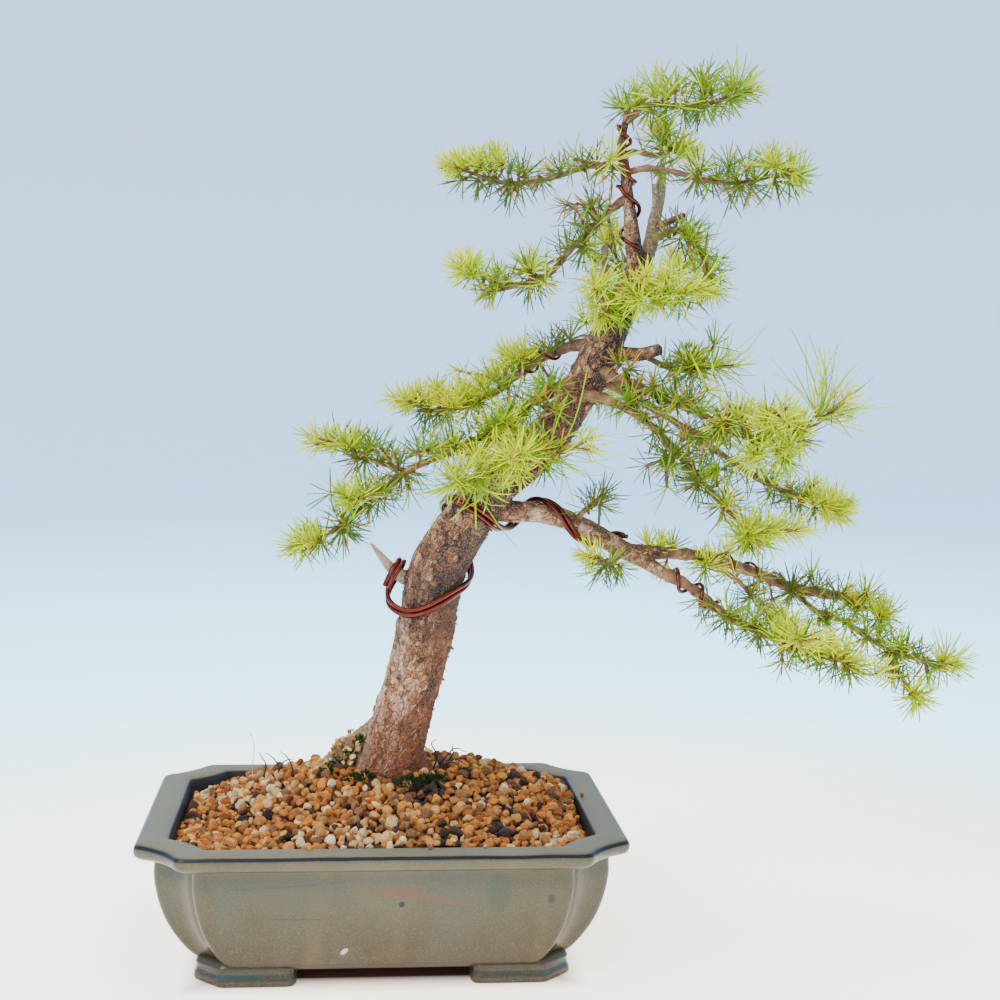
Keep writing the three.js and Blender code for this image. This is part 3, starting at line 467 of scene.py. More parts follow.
# %% [markdown]
# The glaze is a celadon: an olive grey full of fine tan specks, a little bluer where it runs thick
# over the upper wall. Towards the base it turns warmer and darker: a warmer tone together with
# painted shade, and a dark band where the body meets the feet is painted shade. It collects in a dark
# violet line on the outer edge of the rim and breaks pale on the lip below, and a dark teal band just
# under the lip is painted shade. It is nearly black on the inner wall. A rusty streak, two faint
# creases and a few pits mark the front. Heights and noise place all of it, and a clear coat gives
# the wet shine.

# %% Tones of the glaze
GLAZE_OLIVE, GLAZE_GREY, GLAZE_BLUE = (0.056, 0.046, 0.019), (0.063, 0.054, 0.026), (0.059, 0.061, 0.038)
GLAZE_WARM_SHADE, GLAZE_TAN, GLAZE_THICK = (0.028, 0.018, 0.006), (0.15, 0.108, 0.047), (0.058, 0.061, 0.041)
GLAZE_RIM = (0.19, 0.172, 0.102)
GLAZE_DARK, GLAZE_TEAL = (0.026, 0.024, 0.013), (0.016, 0.034, 0.028)
GLAZE_VIOLET, GLAZE_NIGHT, GLAZE_RUST = (0.005, 0.003, 0.008), (0.008, 0.01, 0.009), (0.11, 0.05, 0.022)
GLAZE_BLISTER, GLAZE_CHIP, BARE_CLAY = (0.1, 0.03, 0.012), (0.45, 0.4, 0.32), (0.12, 0.04, 0.018)
# place across, level, length, thickness, slope, strength and tone of each mark
FRONT_MARKS = [
    (2, 50, 36, 6.5, 0.02, 0.6, GLAZE_RUST), (26, 54.6, 38, 1.6, 0.03, 0.7, GLAZE_RUST),
    (22, 46.8, 46, 4.2, -0.17, 0.7, GLAZE_RUST), (-51, 53.6, 66, 1.0, 0.066, 0.6, GLAZE_DARK),
    (-43, 36.4, 44, 1.0, -0.01, 0.55, GLAZE_DARK), (8.4, 43.8, 3.6, 3.6, 0, 1, GLAZE_NIGHT),
    (84, 45.6, 4.6, 6, 0, 0.9, GLAZE_DARK), (-62.6, 57.5, 2.8, 2.8, 0, 1, GLAZE_BLISTER),
    (-20.3, 18.8, 4.4, 3.2, 0.5, 0.9, GLAZE_CHIP), (57, 50, 15, 26, 0, 0.35, GLAZE_TEAL),
    (-45, 50, 60, 26, 0, 0.4, GLAZE_THICK),
]

# %% Celadon glaze
glaze = Finish("celadon_glaze", roughness=0.3, specular_ior_level=0.25, coat_weight=0.14, coat_roughness=0.12)
height = glaze.place("Z")
broad = glaze.noise(14, 4)
streaks = glaze.noise(1, 4, place=glaze.scaled(glaze.place(), 34, 34, 9))
specks = glaze.noise(1100, 3, rough=0.6)
pits = glaze.step(glaze.cells(48), 0.07, 0.04) * glaze.step(glaze.noise(20), 0.56, 0.6)
body = glaze.layers(
    glaze.ramp(broad, (0.35, GLAZE_OLIVE), (0.5, GLAZE_GREY), (0.68, GLAZE_BLUE)),
    # painted shade, with a warmer tone: the lower wall darkens towards the base
    (glaze.step(height + broad * 0.03, 0.055, 0.02) * 0.8, GLAZE_WARM_SHADE),
    (glaze.step(streaks, 0.5, 0.72) * 0.6, GLAZE_THICK),
    (glaze.step(streaks, 0.46, 0.3) * 0.3, GLAZE_TAN),
    (glaze.step(specks, 0.53, 0.68) * 0.42, GLAZE_TAN),
    (glaze.step(specks, 0.45, 0.32) * 0.5, GLAZE_DARK),
    (pits, GLAZE_DARK),
)
print("nodes in the glaze's body:", len(glaze.tree.nodes))

# %% Rim line, lip, inner wall
wander = glaze.noise(30, 2) * 0.0012 - 0.0006
level = height + wander
lip = glaze.band(level, 0.0628, 0.064, 0.0684, 0.0692)
# painted shade: a dark teal band under the overhang of the lip
shade_under_lip = glaze.band(level, 0.0605, 0.0617, 0.0627, 0.0636)
line = glaze.band(level, 0.0687, 0.0692, 0.0702, 0.0706)
rim_edge = glaze.band(level, 0.0705, 0.071, 0.0711, 0.0718)
rim_top = glaze.step(level, 0.0705, 0.0711)
inner = glaze.kept("inner") * glaze.step(level, 0.0706, 0.0696)
body = glaze.layers(
    body, (lip * 0.16, GLAZE_TAN), (shade_under_lip * 0.7, GLAZE_TEAL), (rim_edge * 0.4, GLAZE_TEAL),
    (rim_top * (1 - inner) * 0.6, GLAZE_RIM), (line * 0.96, GLAZE_VIOLET), (inner * 0.9, GLAZE_NIGHT))
print("nodes with the rim:", len(glaze.tree.nodes))

# %% Marks of the kiln on the front
out_front = glaze.step(glaze.place("Y"), -0.07, -0.075)


def front_mark(x, z, length, thickness, slope):
    """A soft mark on the pot's front, given in the tree's millimetres."""
    across = (glaze.place("X") - (float(POT_CENTRE[0]) + x / 1000)) * (2000 / length)
    level = (height + wander * 2 - z / 1000 - across * (slope * length / 2000)) * (2000 / thickness)
    apart = across * across + level * level
    return glaze.step(apart + glaze.noise(110, 4) * 0.9, 1.45, 0.85) * out_front


body = glaze.layers(
    body, *((front_mark(*mark) * strength, colour) for *mark, strength, colour in FRONT_MARKS))
print("nodes with the marks:", len(glaze.tree.nodes))

# %% Feet, and the glaze as a whole
bare_clay = glaze.step(glaze.facing("Z"), -0.8, -0.95) * glaze.step(height, 0.012, 0.01)
foot_teal = glaze.band(height, 0.0032, 0.0045, 0.0068, 0.0078) * glaze.step(glaze.noise(60), 0.35, 0.6)
# painted shade: a dark band where the base of the body curves in above the feet
shade_under_body = glaze.band(height, 0.0078, 0.0086, 0.0098, 0.0125)
body = glaze.layers(body, (foot_teal * 0.8, GLAZE_TEAL), (shade_under_body * 0.55, GLAZE_DARK), (bare_clay, BARE_CLAY))
glaze.paint(
    base_color=body,
    roughness=0.26 + bare_clay * 0.55 + specks * 0.14 + rim_top * 0.22 + inner * 0.25,
    coat_weight=0.14 - (bare_clay + line + inner + rim_top) * 0.14,
)
glaze.relief(glaze.noise(9, 3) * 0.5 + glaze.noise(160, 2) * 0.06 + specks * 0.03, 0.004, 0.35)
pot = pot_heap.piece("glazed_pot", glaze, "glaze", ["pot"])
print("pot triangles:", triangles(pot))

# %% [markdown]
# Two round holes drain the pot. A boolean cut is the plain way to make them: a cylinder goes
# through the floor, and the cut is applied so that the piece holds real holes.


# %% Drain holes
def applied(made):
    """Replaces a piece's mesh by what its modifiers make of it."""
    made.data = bpy.data.meshes.new_from_object(made.evaluated_get(bpy.context.evaluated_depsgraph_get()))
    made.modifiers.clear()


DRAIN_PLACES, DRAIN_RADIUS = (-50, 50), 0.009
for x in DRAIN_PLACES:
    drill_mesh = bpy.data.meshes.new("drill")
    drill_shape = bmesh.new()
    where = Matrix.Translation(Vector(to_frame((x, 0, FLOOR_TOP / 2))))
    bmesh.ops.create_cone(
        drill_shape, cap_ends=True, segments=40, radius1=DRAIN_RADIUS, radius2=DRAIN_RADIUS, depth=0.03,
        matrix=where)
    drill_shape.to_mesh(drill_mesh)
    drill_shape.free()
    drill = in_scene("drill", drill_mesh)
    cut = pot.modifiers.new("drain", "BOOLEAN")
    cut.object = drill
    cut.solver = "EXACT"
    bpy.context.view_layer.update()
    applied(pot)
    bpy.data.objects.remove(drill)
pot.data.set_sharp_from_angle(angle=math.radians(50))
print("pot triangles with drain holes:", triangles(pot))

# %% [markdown]
# A square of plastic mesh over each hole keeps the soil in. It is woven from thin strands, each a
# small tube, and is seen only from below, through the drain hole.


# %% Tubes along a path
def unit_rows(rows):
    """Each row of a table at a length of one."""
    return rows / np.linalg.norm(rows, axis=1)[:, None]


def ring_frames(path):
    """Two directions across a path at each of its points, carried along without twist."""
    tangent = unit_rows(np.gradient(path, axis=0))
    across = np.cross(tangent[0], (0.0, 0.0, 1.0) if abs(tangent[0][2]) < 0.9 else (1.0, 0.0, 0.0))
    first, second = [], []
    for direction in tangent:
        across = unit(across - direction * (across @ direction))
        first.append(across)
        second.append(np.cross(direction, across))
    return np.array(first), np.array(second), tangent


def tube(path, radii, sides, relief=None):
    """Points and faces of a closed tube. A relief scales each radius by row and angle."""
    path = np.asarray(path, float)
    radii = np.broadcast_to(np.asarray(radii, float), len(path))
    first, second, tangent = ring_frames(path)
    angles = np.arange(sides) * 2 * math.pi / sides
    scale = 1 if relief is None else relief(np.arange(len(path))[:, None], angles[None])
    reach = radii[:, None] * scale * np.ones(sides)
    rings = (
        path[:, None]
        + first[:, None] * (reach * np.cos(angles))[..., None]
        + second[:, None] * (reach * np.sin(angles))[..., None]
    )
    ends = [path[0] - tangent[0] * radii[0] * 0.4, path[-1] + tangent[-1] * radii[-1] * 0.4]
    return np.vstack([rings.reshape(-1, 3), ends]), skin_faces(len(path), sides)


# %% Drainage screens
SCREEN_SIZE, SCREEN_LEVEL, STRANDS, STRAND_POINTS, STRAND = 30, FLOOR_TOP + 0.9, 11, 41, 0.4
screen_plastic = Finish("screen_plastic", roughness=0.5)
screen_tone = screen_plastic.noise(400, 2)
screen_plastic.paint(base_color=screen_plastic.ramp(screen_tone, (0.3, 0.012), (0.7, 0.03)))
for name, x in zip(("drainage_screen_left", "drainage_screen_right"), DRAIN_PLACES):
    screen = Heap()
    for k in range(STRANDS):
        across = np.full(STRAND_POINTS, (k - 5) * (SCREEN_SIZE - 1) / 10)
        along = np.linspace(-SCREEN_SIZE / 2, SCREEN_SIZE / 2, STRAND_POINTS)
        wave = 0.35 * np.cos(along * math.pi * 10 / (SCREEN_SIZE - 1) + k * math.pi)
        screen.add(*tube(np.column_stack([x + along, across, SCREEN_LEVEL + wave]), STRAND, 5))
        screen.add(*tube(np.column_stack([x + across, along, SCREEN_LEVEL - wave]), STRAND, 5))
    made = screen.piece("woven_" + name, screen_plastic, "screen_plastic", [name])
    print(made.name, triangles(made))

# %% [markdown]
# ## Wood
# The wood is drawn in a few curves: each limb is a list of way points with a radius at
# each of them. The trunk, its roots, the bough and the dead stubs grow as one piece of wood, and
# each leafy branch is a limb or a few.


# %% A limb is a curve with a thickness
class Limb:
    """A curve through way points, with a radius at each of them."""

    def __init__(self, way_points):
        way = np.array(way_points, float)
        self.way = way[:, :3]
        self.radii = way[:, 3]
        self.place = np.linspace(0, len(way) - 1, 401)
        steps = np.diff(curve_at(self.way, self.place), axis=0)
        self.run = np.concatenate([[0], np.cumsum(np.linalg.norm(steps, axis=1))])
        self.length = self.run[-1]

    def points(self, along):
        return curve_at(self.way, np.interp(along, self.run, self.place))

    def radius(self, along):
        return np.interp(np.interp(along, self.run, self.place), np.arange(len(self.radii)), self.radii)

    def tangent(self, along):
        middle = np.interp(along, self.run, self.place)
        low, high = max(middle - 1e-4, 0), min(middle + 1e-4, len(self.way) - 1)
        return unit(np.diff(curve_at(self.way, [low, high]), axis=0)[0])

    def stretches(self, step=8):
        """Straight stretches of the limb: start, end and radius of each."""
        count = max(2, round(self.length / step))
        along = np.linspace(0, self.length, count + 1)
        points, radii = self.points(along), self.radius(along)
        return [(points[i], points[i + 1], max(radii[i], radii[i + 1])) for i in range(count)]


# %% Way points of trunk, bough, leaders, roots and dead stubs
TRUNK = Limb([
    (2, 16, 40, 14), (3, 16, 70, 17), (4, 15, 86, 20), (6, 14, 98, 17.8), (12, 12, 122, 16),
    (19, 10, 146, 15.8), (24, 8, 172, 16.2), (28, 6, 200, 15.7), (45, 5, 230, 14), (58, 5, 247, 13),
    (87, 6, 273, 11.8), (103, 6, 295, 10.6), (115, 5, 318, 10.8), (126, 4, 344, 9.6), (137, 3, 370, 6.8),
])
BOUGH = Limb([
    (56, 5, 235, 7), (71, 8, 233.5, 6), (84, 8, 233, 5.7), (99, 8, 229.5, 5.7), (114, 6, 223, 5.6),
    (131, 4, 213.5, 5.4), (143, 2, 209.5, 5.2),
])
LEFT_LEADER = Limb([
    (136, 3, 364, 5.5), (132, 0, 384, 4.6), (130, 0, 399, 3.6), (127, 1, 420, 3), (125, 2, 435, 2.7),
    (128, 3, 450, 2.1),
])
RIGHT_LEADER = Limb([
    (137, 4, 366, 5.2), (143, 8, 380, 4.2), (146, 10, 396, 3.6), (149, 10, 410, 2.8), (149, 9, 424, 2),
])
FORKS = [
    Limb([(136, 4, 212, 4.8), (150, 5, 211.5, 4.1), (159, 8, 211, 3.5)]),
    Limb([(136, 2, 211, 4.8), (146, -4, 205.5, 4), (153, -8, 201, 3.4)]),
]
ROOTS = [
    Limb([(5, 15, 114, 9), (-8, 17, 103, 9), (-21, 18, 93, 8), (-36, 17, 79, 5)]),
    Limb([(8, 15, 100, 10), (19, 12, 90, 8), (27, 9, 76, 5)]),
]
STUBS = [
    Limb([(20, 8, 192, 5), (6, 4, 200, 3.6), (-8, -6, 217, 0.9)]),
    Limb([(121, 3, 330, 5), (117, -5, 350, 2.8), (116, -6, 379, 2.2)]),
    Limb([(145, 9, 390, 2.4), (160, -2, 397, 1.7)]),
    Limb([(147, 10, 398, 2.6), (145, 8, 414, 1.8)]),
    Limb([(118, 2, 322, 5), (136, -8, 321, 3.8), (146, -15, 324, 3.4)]),
]
TRUNK_LIMBS = [TRUNK, BOUGH, *FORKS, LEFT_LEADER, RIGHT_LEADER, *ROOTS, *STUBS]
print("trunk length:", round(TRUNK.length), "mm")

# %% [markdown]
# Tubes alone would meet in sharp creases. Wood flows round a fork instead, so the limbs are first
# laid into one mesh and then remeshed: the Remesh modifier turns the whole into one closed skin,
# and a light smoothing rounds the crotches. The bark comes after that.

# %% One skin for the trunk's wood
BARK_RELIEF, VOXEL = 0.05, 0.0009
# waves round the trunk, share and twist of each set of ridges
RIDGES = [(3, 1, 0.1), (5, 0.8, -0.16), (7, 0.5, 0.23)]


def ridges(row, angle):
    """Long ridges and hollows of the wood under the bark."""
    wave = sum(share * np.sin(waves * angle + twist * row) for waves, share, twist in RIDGES)
    return 1 + BARK_RELIEF * np.clip(wave / 2, -1, 1)


wood_heap = Heap()
for limb in TRUNK_LIMBS:
    along = np.linspace(0, limb.length, max(4, round(limb.length / 3)) + 1)
    relief = ridges if limb.radii[0] > 6.5 else None
    wood_heap.add(*tube(limb.points(along), limb.radius(along), 36, relief))

bark = Finish("flaking_bark", roughness=0.85)
trunk = wood_heap.piece("trunk_bark", bark, "bark", ["trunk"])
remesh = trunk.modifiers.new("one_skin", "REMESH")
remesh.mode, remesh.voxel_size = "VOXEL", VOXEL
soften = trunk.modifiers.new("soften", "SMOOTH")
soften.factor, soften.iterations = 0.5, 4
bpy.context.view_layer.update()
applied(trunk)
print("trunk triangles:", triangles(trunk))

# %% [markdown]
# Larch bark breaks into plates that flake off in thin scales. To follow the grain, each point of
# the skin gets its place in the wood: how far along the nearest limb it is, and where round it.
# The plates are the cells of a Voronoi pattern in that space, stretched along the limb, with a
# height drawn for each, cracks between them and fine scales on top. A shift for each limb keeps
# their patterns apart.

# %% Every point's place in the grain
def read_points(made, what):
    """The places or the normals of a piece's points, as rows."""
    values = np.empty(len(made.data.vertices) * 3)
    made.data.vertices.foreach_get(what, values)
    return values.reshape(-1, 3)


skin = (read_points(trunk, "co") - POT_CENTRE) * 1000
normals = read_points(trunk, "normal")
nearest = np.full(len(skin), np.inf)
grain = np.zeros_like(skin)
limb_index = np.zeros(len(skin), int)
GRAIN_SHIFT = 97
for index, limb in enumerate(TRUNK_LIMBS):
    along = np.linspace(0, limb.length, max(8, round(limb.length / 2)) + 1)
    points, radii = limb.points(along), limb.radius(along)
    directions = ring_frames(points)
    low, high = points.min(0) - 30, points.max(0) + 30
    near = np.flatnonzero(np.all((skin > low) & (skin < high), axis=1))
    for part in np.array_split(near, len(near) // 20000 + 1):
        apart = np.linalg.norm(skin[part][:, None] - points[None], axis=2)
        closest = apart.argmin(1)
        share = apart[np.arange(len(part)), closest] / radii[closest]
        better = share < nearest[part]
        chosen, spot = part[better], closest[better]
        offset = skin[chosen] - points[spot]
        nearest[chosen] = share[better]
        limb_index[chosen] = index
        grain[chosen] = np.column_stack([
            np.einsum("ij,ij->i", offset, direction[spot]) for direction in directions])
        grain[chosen, 2] = along[spot] + grain[chosen, 2] + GRAIN_SHIFT * index
print("points of the skin:", len(skin))

# %% Plates, cracks and scales
PLATE = np.array([1 / 4.6, 1 / 4.6, 1 / 7.5])
SCALE = np.array([1 / 1.9, 1 / 1.9, 1 / 3])
noise.seed_set(5)


def bark_height(spot):
    """Crack, plate and scale of the bark at a place in the grain, each from 0 to 1."""
    bent = Vector(spot * PLATE)
    bent = bent + 0.45 * Vector(noise.noise_vector(bent * 1.7))
    distances, cells = noise.voronoi(bent)
    crack = min(1.0, (distances[1] - distances[0]) * 6)
    shut = min(1.0, max(0.0, 0.45 - 1.6 * noise.noise(bent * 0.7)))
    plate = noise.cell(cells[0] * 7.3)
    scale_distances, scales = noise.voronoi(Vector(spot * SCALE))
    scale_edge = min(1.0, (scale_distances[1] - scale_distances[0]) * 4)
    return max(crack, shut), plate, scale_edge * (0.4 + 0.6 * noise.cell(scales[0] * 5.1))


crack, plate, scale = np.array([bark_height(spot) for spot in grain]).T
thickness = np.clip(np.array([limb.radii.max() for limb in TRUNK_LIMBS]) / 18, 0.15, 1)
bare = np.zeros(len(skin))
for share, limbs in ((1, STUBS[:1]), (0.55, (STUBS[1], STUBS[3], RIGHT_LEADER))):
    bare[np.isin(limb_index, [TRUNK_LIMBS.index(limb) for limb in limbs])] = share
lift = crack * (0.25 + 0.7 * plate) + 0.3 * scale - 0.55
lift = np.where(bare == 1, 0, lift) * thickness[limb_index]
skin += normals * lift[:, None]
trunk.data.vertices.foreach_set("co", to_frame(skin).ravel())
for name, values in (("crack", crack), ("plate", plate), ("bare", bare), ("scale_height", scale)):
    trunk.data.attributes.new(name, "FLOAT", "POINT").data.foreach_set("value", values)
trunk.data.attributes.new("grain", "FLOAT_VECTOR", "POINT").data.foreach_set("vector", grain.ravel())
trunk.data.update()
print("bark from", lift.min().round(2), "to", lift.max().round(2), "mm")

# %% [markdown]
# The colours of the bark follow the same grain: weathered scales are pale and pinkish grey, fresh
# ones are warm brown, and short cracks are nearly black. The left side, which faces the key light, is
# paler: partly weathered bark and partly painted light. The stretch under the bough, among the wire
# turns, is dark red brown: painted shade. Near the soil, where plates have flaked off, the bark glows
# orange red. The lower right side, away from the key light, is rust brown: partly the bark's own tone
# and partly painted shade. The foot's left side is a little mossy, and higher up there is some
# lichen. The dead stub has lost its bark and bleached.

# %% Tones of the bark
BARK_DARK, BARK_BROWN = (0.017, 0.005, 0.002), (0.135, 0.032, 0.007)
BARK_TAN, BARK_PALE, BARK_RED = (0.35, 0.112, 0.031), (0.7, 0.4, 0.24), (0.28, 0.034, 0.004)
BARK_RUST_SHADE, BARK_MOSSY, BARK_LICHEN = (0.33, 0.09, 0.018), (0.12, 0.12, 0.045), (0.15, 0.13, 0.045)
BARK_BOUGH_SHADE, BARK_ORANGE, BARK_MAROON = (0.065, 0.017, 0.008), (0.21, 0.046, 0.008), (0.085, 0.014, 0.003)
BARK_CRACK, DEAD_BROWN, DEAD_PALE = (0.03, 0.014, 0.01), (0.17, 0.09, 0.045), (0.5, 0.33, 0.19)


# %% Patterns in the grain
def in_grain(across, along):
    """The place in the grain, scaled across and along the limb."""
    return bark.scaled(bark.kept("grain", "Vector"), across, across, along)


fibres = bark.noise(1, 5, rough=0.68, place=in_grain(0.8, 0.55))
mottle = bark.noise(1, 4, rough=0.6, place=in_grain(0.17, 0.1))
grit = bark.noise(1, 3, rough=0.7, place=in_grain(2.4, 1.7))
bends = bark.node("ShaderNodeTexNoise", None, {"Scale": 1, "Detail": 4, "Vector": in_grain(0.4, 0.4)}, out=1)
bent_grain = bark.node(
    "ShaderNodeVectorMath", {"operation": "ADD"}, {0: in_grain(0.3, 0.34), 1: bends})
flake_edge = bark.cells(1, "DISTANCE_TO_EDGE", place=bent_grain)
flake_tone = bark.cells(1, place=bent_grain, out="Color")
plate_tone = bark.kept("plate")
print("nodes of the patterns:", len(bark.tree.nodes))

# %% Bark
facing_left = bark.facing("X") * -1
# painted light: the side facing left, towards the key light, is paler, partly from weathering
lit_and_weathered = bark.step(facing_left, -0.7, 0.8)
height = bark.place("Z")
along = bark.place("X") - float(POT_CENTRE[0])
on_bough = bark.step(along, 0.06, 0.075) * bark.step(height, 0.248, 0.238)
age = (fibres * 0.4 + mottle * 0.5 + grit * 0.3 + flake_tone * 0.22 + plate_tone * 0.1
       + lit_and_weathered * 0.3 - 0.06 - bark.step(height, 0.135, 0.18) * (1 - on_bough * 1.3) * 0.09)
flake_rim = bark.band(flake_edge, 0.06, 0.12, 0.16, 0.3)
flake_line = bark.step(flake_edge, 0.07, 0.02) * bark.step(fibres, 0.36, 0.56)
# painted shade: the bark under the bough, among the wire turns, is dark red brown
bough_shade = bark.band(height, 0.152, 0.166, 0.2, 0.222) * bark.step(mottle, 0.35, 0.6)
fallen = bark.step(height + mottle * 0.06, 0.2, 0.13) * bark.step(
    fibres + plate_tone * 0.25 - lit_and_weathered * 0.3 + mottle * 0.2, 0.5, 0.66)
low_bark = bark.step(height, 0.132, 0.1) * (1 - lit_and_weathered * 0.35)
lichen = bark.step(bark.noise(55, 4, rough=0.65), 0.58, 0.66) * bark.step(height, 0.19, 0.24)
# painted shade: the lower right side, away from the key light, is rust brown, partly the bark's own tone
shaded_right_side = bark.step(facing_left, 0.3, -0.5) * bark.step(height, 0.2, 0.15)
root_side = bark.step(along, -0.005, -0.013) * bark.step(height, 0.128, 0.112)
coat = bark.layers(
    bark.ramp(age, (0.62, BARK_DARK), (0.72, BARK_BROWN), (0.83, BARK_TAN), (0.98, BARK_PALE)),
    (flake_rim * 0.2, BARK_PALE),
    (bough_shade * 0.6, BARK_BOUGH_SHADE),
    (fallen * 0.85, BARK_RED),
    (low_bark * bark.step(mottle, 0.58, 0.46) * 0.85, BARK_ORANGE),
    (low_bark * bark.step(mottle, 0.44, 0.56) * 0.85, BARK_MAROON),
    (flake_line * 0.75, BARK_DARK),
    (bark.step(bark.kept("crack"), 0.6, 0.1) * 0.8, BARK_CRACK),
    (lichen * 0.2, BARK_LICHEN),
    (shaded_right_side * bark.step(mottle, 0.42, 0.56) * 0.45, BARK_RUST_SHADE),
    (root_side * bark.step(grit, 0.35, 0.6) * 0.75, BARK_MOSSY),
    (bark.kept("bare"), bark.ramp(fibres, (0.3, DEAD_BROWN), (0.6, DEAD_PALE))),
)
bark.paint(base_color=coat, roughness=0.75 + fibres * 0.2)
bark.relief(
    fibres * 0.6 + grit * 0.25 + bark.kept("scale_height") * 0.3 + bark.step(flake_edge, 0.0, 0.12) * 0.5
    - flake_tone * 0.3, 0.0009, 0.8)
print("nodes in the bark:", len(bark.tree.nodes))

# %% [markdown]
# Some scales have come loose and stand off the trunk, most of them on the underside of its lean,
# where rain doesn't wash them away. Each is a thin curled plate, set on the skin at a slant.

# %% Loose scales of bark
SCALE_THICKNESS = 0.22
SCALE_FACES = [[9 + a, 10 + a, 13 + a, 12 + a] for a in (0, 1, 3, 4)]
SCALE_FACES += [[a + 3, a + 4, a + 1, a] for a in (0, 1, 3, 4)]
SCALE_FACES += [
    [a, b, b + 9, a + 9] for a, b in ((0, 1), (1, 2), (2, 5), (5, 8), (8, 7), (7, 6), (6, 3), (3, 0))]
chance = np.random.default_rng(5)
loose = Heap()
on_trunk = np.flatnonzero((limb_index == 0) & (skin[:, 2] > 95) & (skin[:, 2] < 330))
shaded = on_trunk[normals[on_trunk] @ unit(np.array([0.8, 0.1, -0.3])) > 0.35]
picked = np.concatenate([chance.choice(on_trunk, 90), chance.choice(shaded, 110)])
for spot in picked:
    out = normals[spot]
    way = 1 if chance.random() < 0.5 else -1
    up = unit(np.cross(out, (0.0, 1.0, 0.0)) * way + chance.normal(0, 0.4, 3))
    across = unit(np.cross(up, out))
    long_side, wide_side = chance.uniform(1.6, 4.4), chance.uniform(1.0, 2.3)
    rise = chance.uniform(0.15, 0.5)
    corners = []
    for layer in (0, SCALE_THICKNESS):
        for u in (0, 0.5, 1):
            for v in (-1, 0, 1):
                curl = rise * u * u * long_side - 0.12 * v * v * wide_side + layer
                taper = 1 - 0.35 * u + 0.1 * v * u
                corners.append(
                    skin[spot] + up * (u - 0.3) * long_side + across * v * wide_side / 2 * taper
                    + out * (curl + 0.05))
    loose.add(
        corners, SCALE_FACES, grain=grain[spot], plate=chance.random(), crack=1.0, bare=0.0, scale_height=0.5)
scales_piece = loose.piece("loose_bark_scales", bark, "bark", smooth=False)
print("loose scales:", triangles(scales_piece))

# %% [markdown]
# ## Training wires
# Copper-coloured aluminium wire sets the branches. A coil is easiest to plan on the limb itself:
# a place is a length along the limb and an angle round it, with 0 on its lower or right side, 90 at
# the back and 270 at the front. A third number lifts the wire where it crosses another turn.


# %% Coils on a limb
HEAVY_WIRE, MEDIUM_WIRE, THIN_WIRE = 1.3, 1.1, 0.8
ANGLE_STEP = 9


def coil(limb, wire_radius, places):
    """Points of a wire's middle line, and the way out of the limb at each of them."""
    stations = np.array([(*place, 0)[:3] for place in places], float)
    steps = [0.0]
    for i, turn in enumerate(np.abs(np.diff(stations[:, 1]))):
        count = max(1, round(turn / ANGLE_STEP))
        steps += [i + k / count for k in range(1, count + 1)]
    along, angle, lift = curve_at(stations, steps, centripetal=False).T
    middle = limb.points(along)
    reach = limb.radius(along) * (1 + BARK_RELIEF) + wire_radius + 0.45 + lift
    outward = np.empty_like(middle)
    for i, tangent in enumerate(map(limb.tangent, along)):
        side = unit(np.cross((0.0, 1.0, 0.0), tangent))
        back = np.cross(tangent, side)
        turn = math.radians(angle[i])
        outward[i] = side * math.cos(turn) + back * math.sin(turn)
    return middle + outward * reach[:, None], outward


def beside(points, outward, shift):
    """The path of a wire that runs beside another, moved sideways over the bark."""
    ahead = np.roll(points, -1, axis=0)
    behind = np.roll(points, 1, axis=0)
    ahead[-1], behind[0] = points[-1], points[0]
    return points + unit_rows(np.cross(ahead - behind, outward)) * shift


def path_length(path):
    """Length of a path, rounded to whole millimetres."""
    return round(np.linalg.norm(np.diff(path, axis=0), axis=1).sum())


# %% [markdown]
# The heavy pair starts in a hook round the dead stub, comes round the trunk's front and right side,
# goes behind it, crosses the front again and passes under the bough, and then coils along it. The
# hook is given by points, each with the way out from the wood.

# %% Route of the heavy pair
HOOK = np.array([
    ((0.9, -4, 193), (-0.6, -0.8, 0)), ((3, -3.2, 197.5), (-0.35, -0.93, -0.1)),
    ((6, -2.4, 202.9), (-0.1, -0.85, 0.5)), ((8.6, 1.4, 206.1), (0.3, -0.4, 0.87)),
    ((9.6, 5.6, 206.3), (0.4, 0.3, 0.87)), ((8, 9.6, 202), (0.2, 0.9, 0.4)),
    ((5.5, 10.8, 196), (-0.5, 0.85, 0)), ((1.8, 6, 189), (-0.95, 0.3, 0)),
])
ON_TRUNK = [
    (145, 200, 6.3), (141, 230, 2.8), (147, 270, 0.6), (158, 315, 0.6), (168, 360, 1.8), (178, 405, 1.5),
    (188, 450, 0.6), (199, 540, 0.2), (203.5, 585, 0.4), (204.3, 642, 0.2), (202.6, 700, 0.8),
]
ON_BOUGH = [
    (9, -22, 2.3), (15, 20, 1), (21, 90, 0.5), (30, 180), (44, 270), (60, 360), (69, 450), (78, 540)]
trunk_points, trunk_outward = coil(TRUNK, HEAVY_WIRE, ON_TRUNK)
bough_points, bough_outward = coil(BOUGH, HEAVY_WIRE, ON_BOUGH)
hook_steps = np.linspace(0, len(HOOK), 40)[:-1]
hook_points = curve_at(np.vstack([HOOK[:, 0], trunk_points[:1]]), hook_steps)
hook_outward = curve_at(np.vstack([HOOK[:, 1], trunk_outward[:1]]), hook_steps)
heavy_points = np.vstack([hook_points, trunk_points, bough_points])
heavy_outward = np.vstack([hook_outward, trunk_outward, bough_outward])
for _ in range(5):
    for rows in (heavy_points, heavy_outward):
        rows[1:-1] = (rows[:-2] + 2 * rows[1:-1] + rows[2:]) / 4
finer = np.linspace(0, len(heavy_points) - 1, 3 * len(heavy_points))
heavy_points, heavy_outward = curve_at(heavy_points, finer), unit_rows(curve_at(heavy_outward, finer))
print("heavy wires:", path_length(heavy_points), "mm each")
